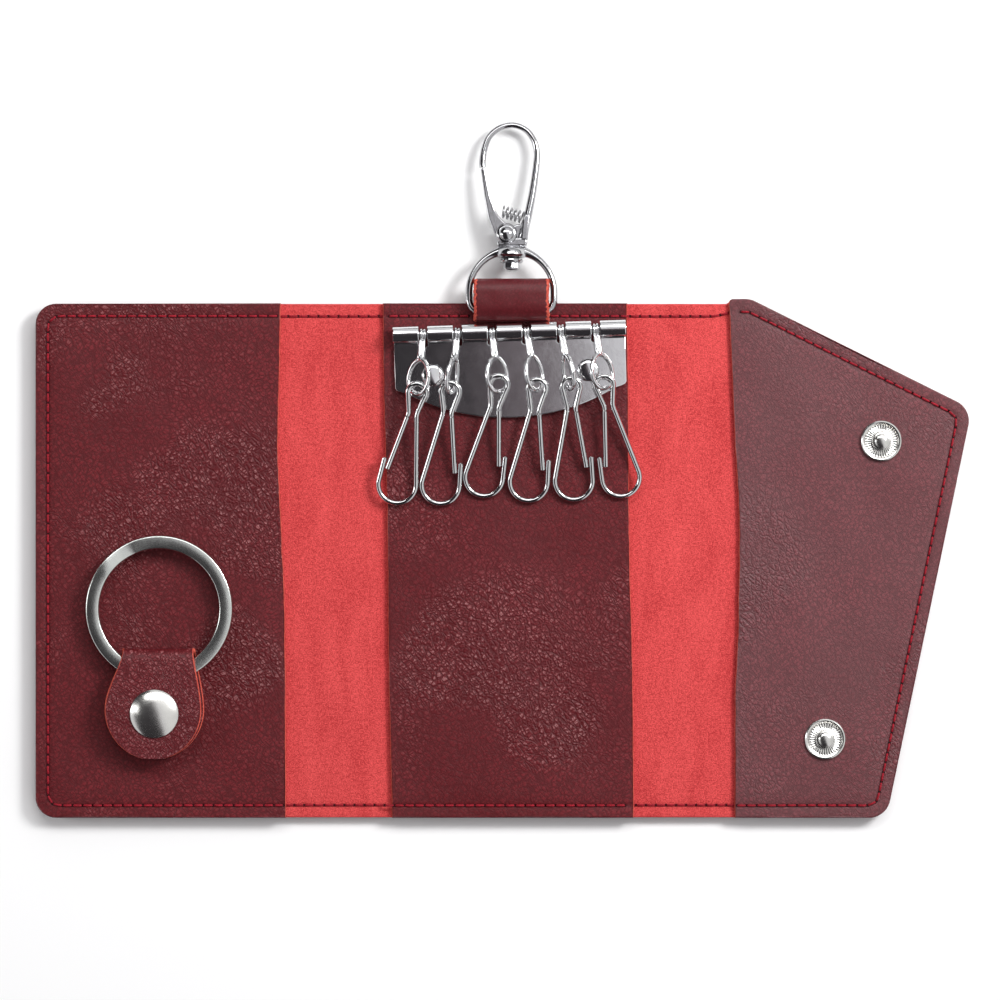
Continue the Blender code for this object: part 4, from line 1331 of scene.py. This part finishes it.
HOOK_RIVET = ((0, 2.55), (0.5, 2.52), (1.0, 2.38), (1.4, 2.14), (1.68, 1.86), (1.72, 1.66),
              (0.8, 1.6), (0.8, -1.9), (1.5, -1.9), (1.45, -2.2), (1.1, -2.4), (0, -2.45))
SPRING_ENDS = Vector((-2.1, 23.55, 0)), Vector((2.6, 22.2, 0))
SPRING_TURNS, SPRING_STEPS, COIL_R, SPRING_WIRE_R = 5, 24, 1.28, 0.25

# The D-ring's straight bar, with Y along the hook's shank
CLASP = basis(-joint_axis("d_ring_swing"), joint_axis("hook_swivel"), joint_at("d_ring_swing"))
ALONG_SHANK = Matrix.Rotation(math.radians(-90), 4, "X")


def make_strap():
    """A loop of leather round the D-ring's bar, with raw, frayed side edges."""
    low, high = node_box("clasp_strap")
    middle_x = (low.x + high.x) / 2
    run = smooth_line(STRAP_RUN, 4)
    half = STRAP_THICK / 2
    rows = []
    for index, y, z, normal in along_run(run):
        left, right = (
            STRAP_HALF + FRAY * noise.noise(Vector((index * 0.55, side * 9.1, 2.2)))
            - (FRAY_NICK if index % 3 == 0 else 0.0)
            for side in (-1, 1)
        )
        columns = range(STRAP_COLUMNS + 1)
        xs = [middle_x - left + (left + right) * i / STRAP_COLUMNS for i in columns]
        tops = [half + STRAP_CROWN * noise.noise(Vector((x / 2.2, index / 3.0, 5.5))) for x in xs]
        tops[0] = tops[-1] = half - STRAP_BEVEL
        outline = [*zip(xs, tops), *((x, -half) for x in reversed(xs))]
        rows.append([Vector((x, y, z)) - normal * up for x, up in outline])

    def choose(centre, normal):
        return 1 if abs(normal.x) > 0.3 or abs(centre.x - middle_x) > STRAP_HALF - RAW_EDGE else 0

    made = piece("clasp_strap_leather", ribbon(rows), [STRAP_LOOK, RAW_CORAL], "middle_panel",
                 "clasp_strap", choose=choose)
    run_length(run) * MM


def make_d_ring():
    """The ring on the strap: a round wire that swells into the swivel's dome."""
    side = DRING_R - DRING_CORNER
    line = arc((0, DRING_ARC_Y), DRING_R, 0, 180, 48)
    line += arc((-side, DRING_CORNER), DRING_CORNER, 180, 270, 10)
    line += arc((side, DRING_CORNER), DRING_CORNER, 270, 360, 10)
    swells = (math.exp(-((x / SWELL_WIDE) ** 2)) if y > 10 else 0.0 for x, y in line)
    radii = [DRING_WIRE + DRING_SWELL * swell for swell in swells]
    ring = tube([(x, y, 0) for x, y in line], radii, 20, closed=True)
    dome = moved(lathe(SWIVEL_DOME, 64, closed=True), ALONG_SHANK)
    piece("swivel_ring_chrome", merged(ring, dome), CLASP_CHROME, "d_ring", "swivel_ring", CLASP)


def make_swivel_button():
    """A washer and an octagonal head on the end of the shank, inside the ring."""
    washer = moved(lathe(WASHER, 64, closed=True), ALONG_SHANK)
    head = moved(lathe(BUTTON, BUTTON_SIDES, closed=True), ALONG_SHANK)
    piece("swivel_button_chrome", merged(washer, head), CLASP_CHROME, "hook", "swivel_button",
          CLASP, sharp=28)


def make_hook_body():
    curve = smooth_line(ARM, 6)
    shapes = [tube([(x, y, 0) for x, y, _ in curve], [r for _, _, r in curve], 20, blunt=0.3)]
    shapes.append(tube([(0, 9.9, 0), (0, 12.5, 0), (0, 15.8, 0)], SHANK_R, 32, blunt=0.0))
    for corners, radius, *levels in HOOK_PLATES:
        shapes.append(plate(rounded([(x, y, radius) for x, y in corners], 3), *levels))
    piece("hook_body_chrome", merged(*shapes), CLASP_CHROME, "hook", "hook_body", CLASP)


def make_hook_gate():
    pivot = CLASP.inverted() @ joint_at("hook_trigger")
    spot = Matrix.Translation((pivot.x, pivot.y, 0))
    blade = plate(rounded(GATE_BLADE, 6), -0.42, 1.15, 0.36, 5, 0.05)
    shape = merged(blade, moved(lathe(GATE_BOSS, 72), spot))
    piece("hook_gate_chrome", shape, CLASP_CHROME, "hook_trigger", "hook_gate", CLASP)
    piece("hook_rivet_chrome", lathe(HOOK_RIVET, 56), CLASP_CHROME, "hook", "hook_rivet",
          CLASP @ spot)


def make_gate_spring():
    """Turns of fine wire between the gate and the hook's arm."""
    start, end = SPRING_ENDS
    along = (end - start).normalized()
    across = Vector((-along.y, along.x, 0))
    points = []
    for step in range(SPRING_TURNS * SPRING_STEPS + 1):
        angle = 2 * math.pi * step / SPRING_STEPS
        centre = start.lerp(end, step / (SPRING_TURNS * SPRING_STEPS))
        out = across * math.cos(angle) + Vector((0, 0, math.sin(angle)))
        points.append(centre + out * COIL_R)
    made = piece("gate_spring_wire", tube(points, SPRING_WIRE_R, 12), SPRING, None, "gate_spring",
                 CLASP)
    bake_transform(made)


# ---------------------------------------------------------------- small CAD pieces, and the set

HIDDEN_NICKEL = ("tab_snap_post", "cover_snap_eyelet_upper", "cover_snap_eyelet_lower",
                 "rivet_washer_left", "rivet_washer_right")
FLAP_AREA_SHARE = 0.80  # what the slanted edge leaves of the flap's oblong


def finish_cad_nodes():
    """Hidden snap parts stay as they were made, with a proper finish."""
    for name in HIDDEN_NICKEL:
        node = frame["nodes"][name]
        node.data.materials.clear()
        node.data.materials.append(NICKEL)


def declare_sheets(liners):
    """Reads the x of each liner's points; nothing is kept or declared."""
    for obj, share in zip(liners, (1.0, 1.0, FLAP_AREA_SHARE)):
        xs = [vertex.co.x for vertex in obj.data.vertices]


VIEW_WIDE = 233.46
VIEW_CENTRE = (-1.868, 14.12)
CAMERA_HIGH = 1150.0
SENSOR = 36.0
TABLE_HALF = 1500.0
# Each light: name, place, size and power. All aim at the middle of the case
LIGHTS = (
    ("key", (430, 300, 520), (200, 200), 3.9),
    ("wide", (-60, 520, 700), (760, 260), 2.3),
    ("left_fill", (-620, 60, 330), (160, 520), 0.75),
)


def link(name, data):
    obj = bpy.data.objects.new(name, data)
    bpy.context.scene.collection.objects.link(obj)
    return obj


def area_light(name, at, size, power):
    data = bpy.data.lights.new(name, "AREA")
    data.shape = "RECTANGLE"
    data.size, data.size_y = (side * MM for side in size)
    data.energy = power
    light = link(name, data)
    light.location = Vector(at) * MM
    light.rotation_euler = (-Vector(at)).to_track_quat("-Z", "Y").to_euler()


# The studio as polished metal shows it, by how far a direction leans to the right: a softbox on
# the left, darkness, a dim band overhead, and a bright wall on the right
DARK, DIM, WALL = (0.040, 0.036, 0.040), (0.185, 0.150, 0.165), (0.95, 0.94, 0.97)
SKY_STEPS = (
    (-1.0, WALL), (-0.80, WALL), (-0.72, DARK), (-0.0075, DARK), (0.0093, DIM), (0.046, DIM),
    (0.055, WALL), (0.45, (1.0, 1.0, 1.0)), (1.0, (0.85, 0.85, 0.86)),
)
SKY_LEAN = (0.95, 0.31)
SKY_STRENGTH = 0.85


def make_sky():
    """The studio round the table. Its horizon is dark."""
    world = bpy.data.worlds.new("studio")
    bpy.context.scene.world = world
    world.use_nodes = True
    tree = world.node_tree

    def maths(kind, first, second, third=0.0):
        node = tree.nodes.new("ShaderNodeMath")
        node.operation = kind
        for socket, value in zip(node.inputs, (first, second, third)):
            if isinstance(value, bpy.types.NodeSocket):
                tree.links.new(value, socket)
            else:
                socket.default_value = value
        return node.outputs[0]

    split = tree.nodes.new("ShaderNodeSeparateXYZ")
    tree.links.new(tree.nodes.new("ShaderNodeTexCoord").outputs["Generated"], split.inputs[0])
    x, y, z = split.outputs
    lean = maths("MULTIPLY_ADD", y, SKY_LEAN[1], maths("MULTIPLY", x, SKY_LEAN[0]))
    ramp = tree.nodes.new("ShaderNodeValToRGB")
    stops = ramp.color_ramp.elements
    stops.remove(stops[1])
    for index, (place, colour) in enumerate(SKY_STEPS):
        stop = stops[0] if index == 0 else stops.new((place + 1) / 2)
        stop.position, stop.color = (place + 1) / 2, (*colour, 1)
    tree.links.new(maths("MULTIPLY_ADD", lean, 0.5, 0.5), ramp.inputs["Fac"])
    horizon = tree.nodes.new("ShaderNodeMapRange")
    horizon.interpolation_type = "SMOOTHSTEP"
    tree.links.new(z, horizon.inputs["Value"])
    for socket, value in zip(("From Min", "From Max", "To Min"), (0.06, 0.26, 0.04)):
        horizon.inputs[socket].default_value = value
    background = tree.nodes["Background"]
    tree.links.new(ramp.outputs["Color"], background.inputs["Color"])
    strength = maths("MULTIPLY", horizon.outputs[0], SKY_STRENGTH)
    tree.links.new(strength, background.inputs["Strength"])


def make_set():
    """A white table, soft light from the upper right, and the camera straight above."""
    base = min(CAD_BOX[0].z, 0) / MM
    corners = [(x * TABLE_HALF, y * TABLE_HALF) for x, y in ((-1, -1), (1, -1), (1, 1), (-1, 1))]
    white = Nodes("table", (0.95, 0.95, 0.95), 0.85)
    white.set("Specular IOR Level", 0.1)
    speckle = white.noise(white.object_place(), 900.0, 3.0)
    white = white.finish(None, None, speckle, 0.00002, 0.2)
    piece("table", plate(corners, base - 6, base - 0.02), white)
    for light in LIGHTS:
        area_light(*light)
    make_sky()
    data = bpy.data.cameras.new("camera")
    data.sensor_width = SENSOR
    data.lens = SENSOR * CAMERA_HIGH / VIEW_WIDE
    data.clip_start, data.clip_end = 0.01, 20.0
    camera = link("camera", data)
    camera.location = (VIEW_CENTRE[0] * MM, VIEW_CENTRE[1] * MM, (CAMERA_HIGH + COVER) * MM)
    bpy.context.scene.camera = camera
    bpy.context.scene.view_settings.view_transform = "Standard"


COVERS = make_cover()
LINERS = make_liners()
make_stitches(COVERS)
for make in (make_key_plate, make_hooks, make_split_ring, make_tab, make_snaps, make_strap,
             make_d_ring, make_swivel_button, make_hook_body, make_hook_gate, make_gate_spring,
             finish_cad_nodes):
    make()
declare_sheets(LINERS)
make_set()
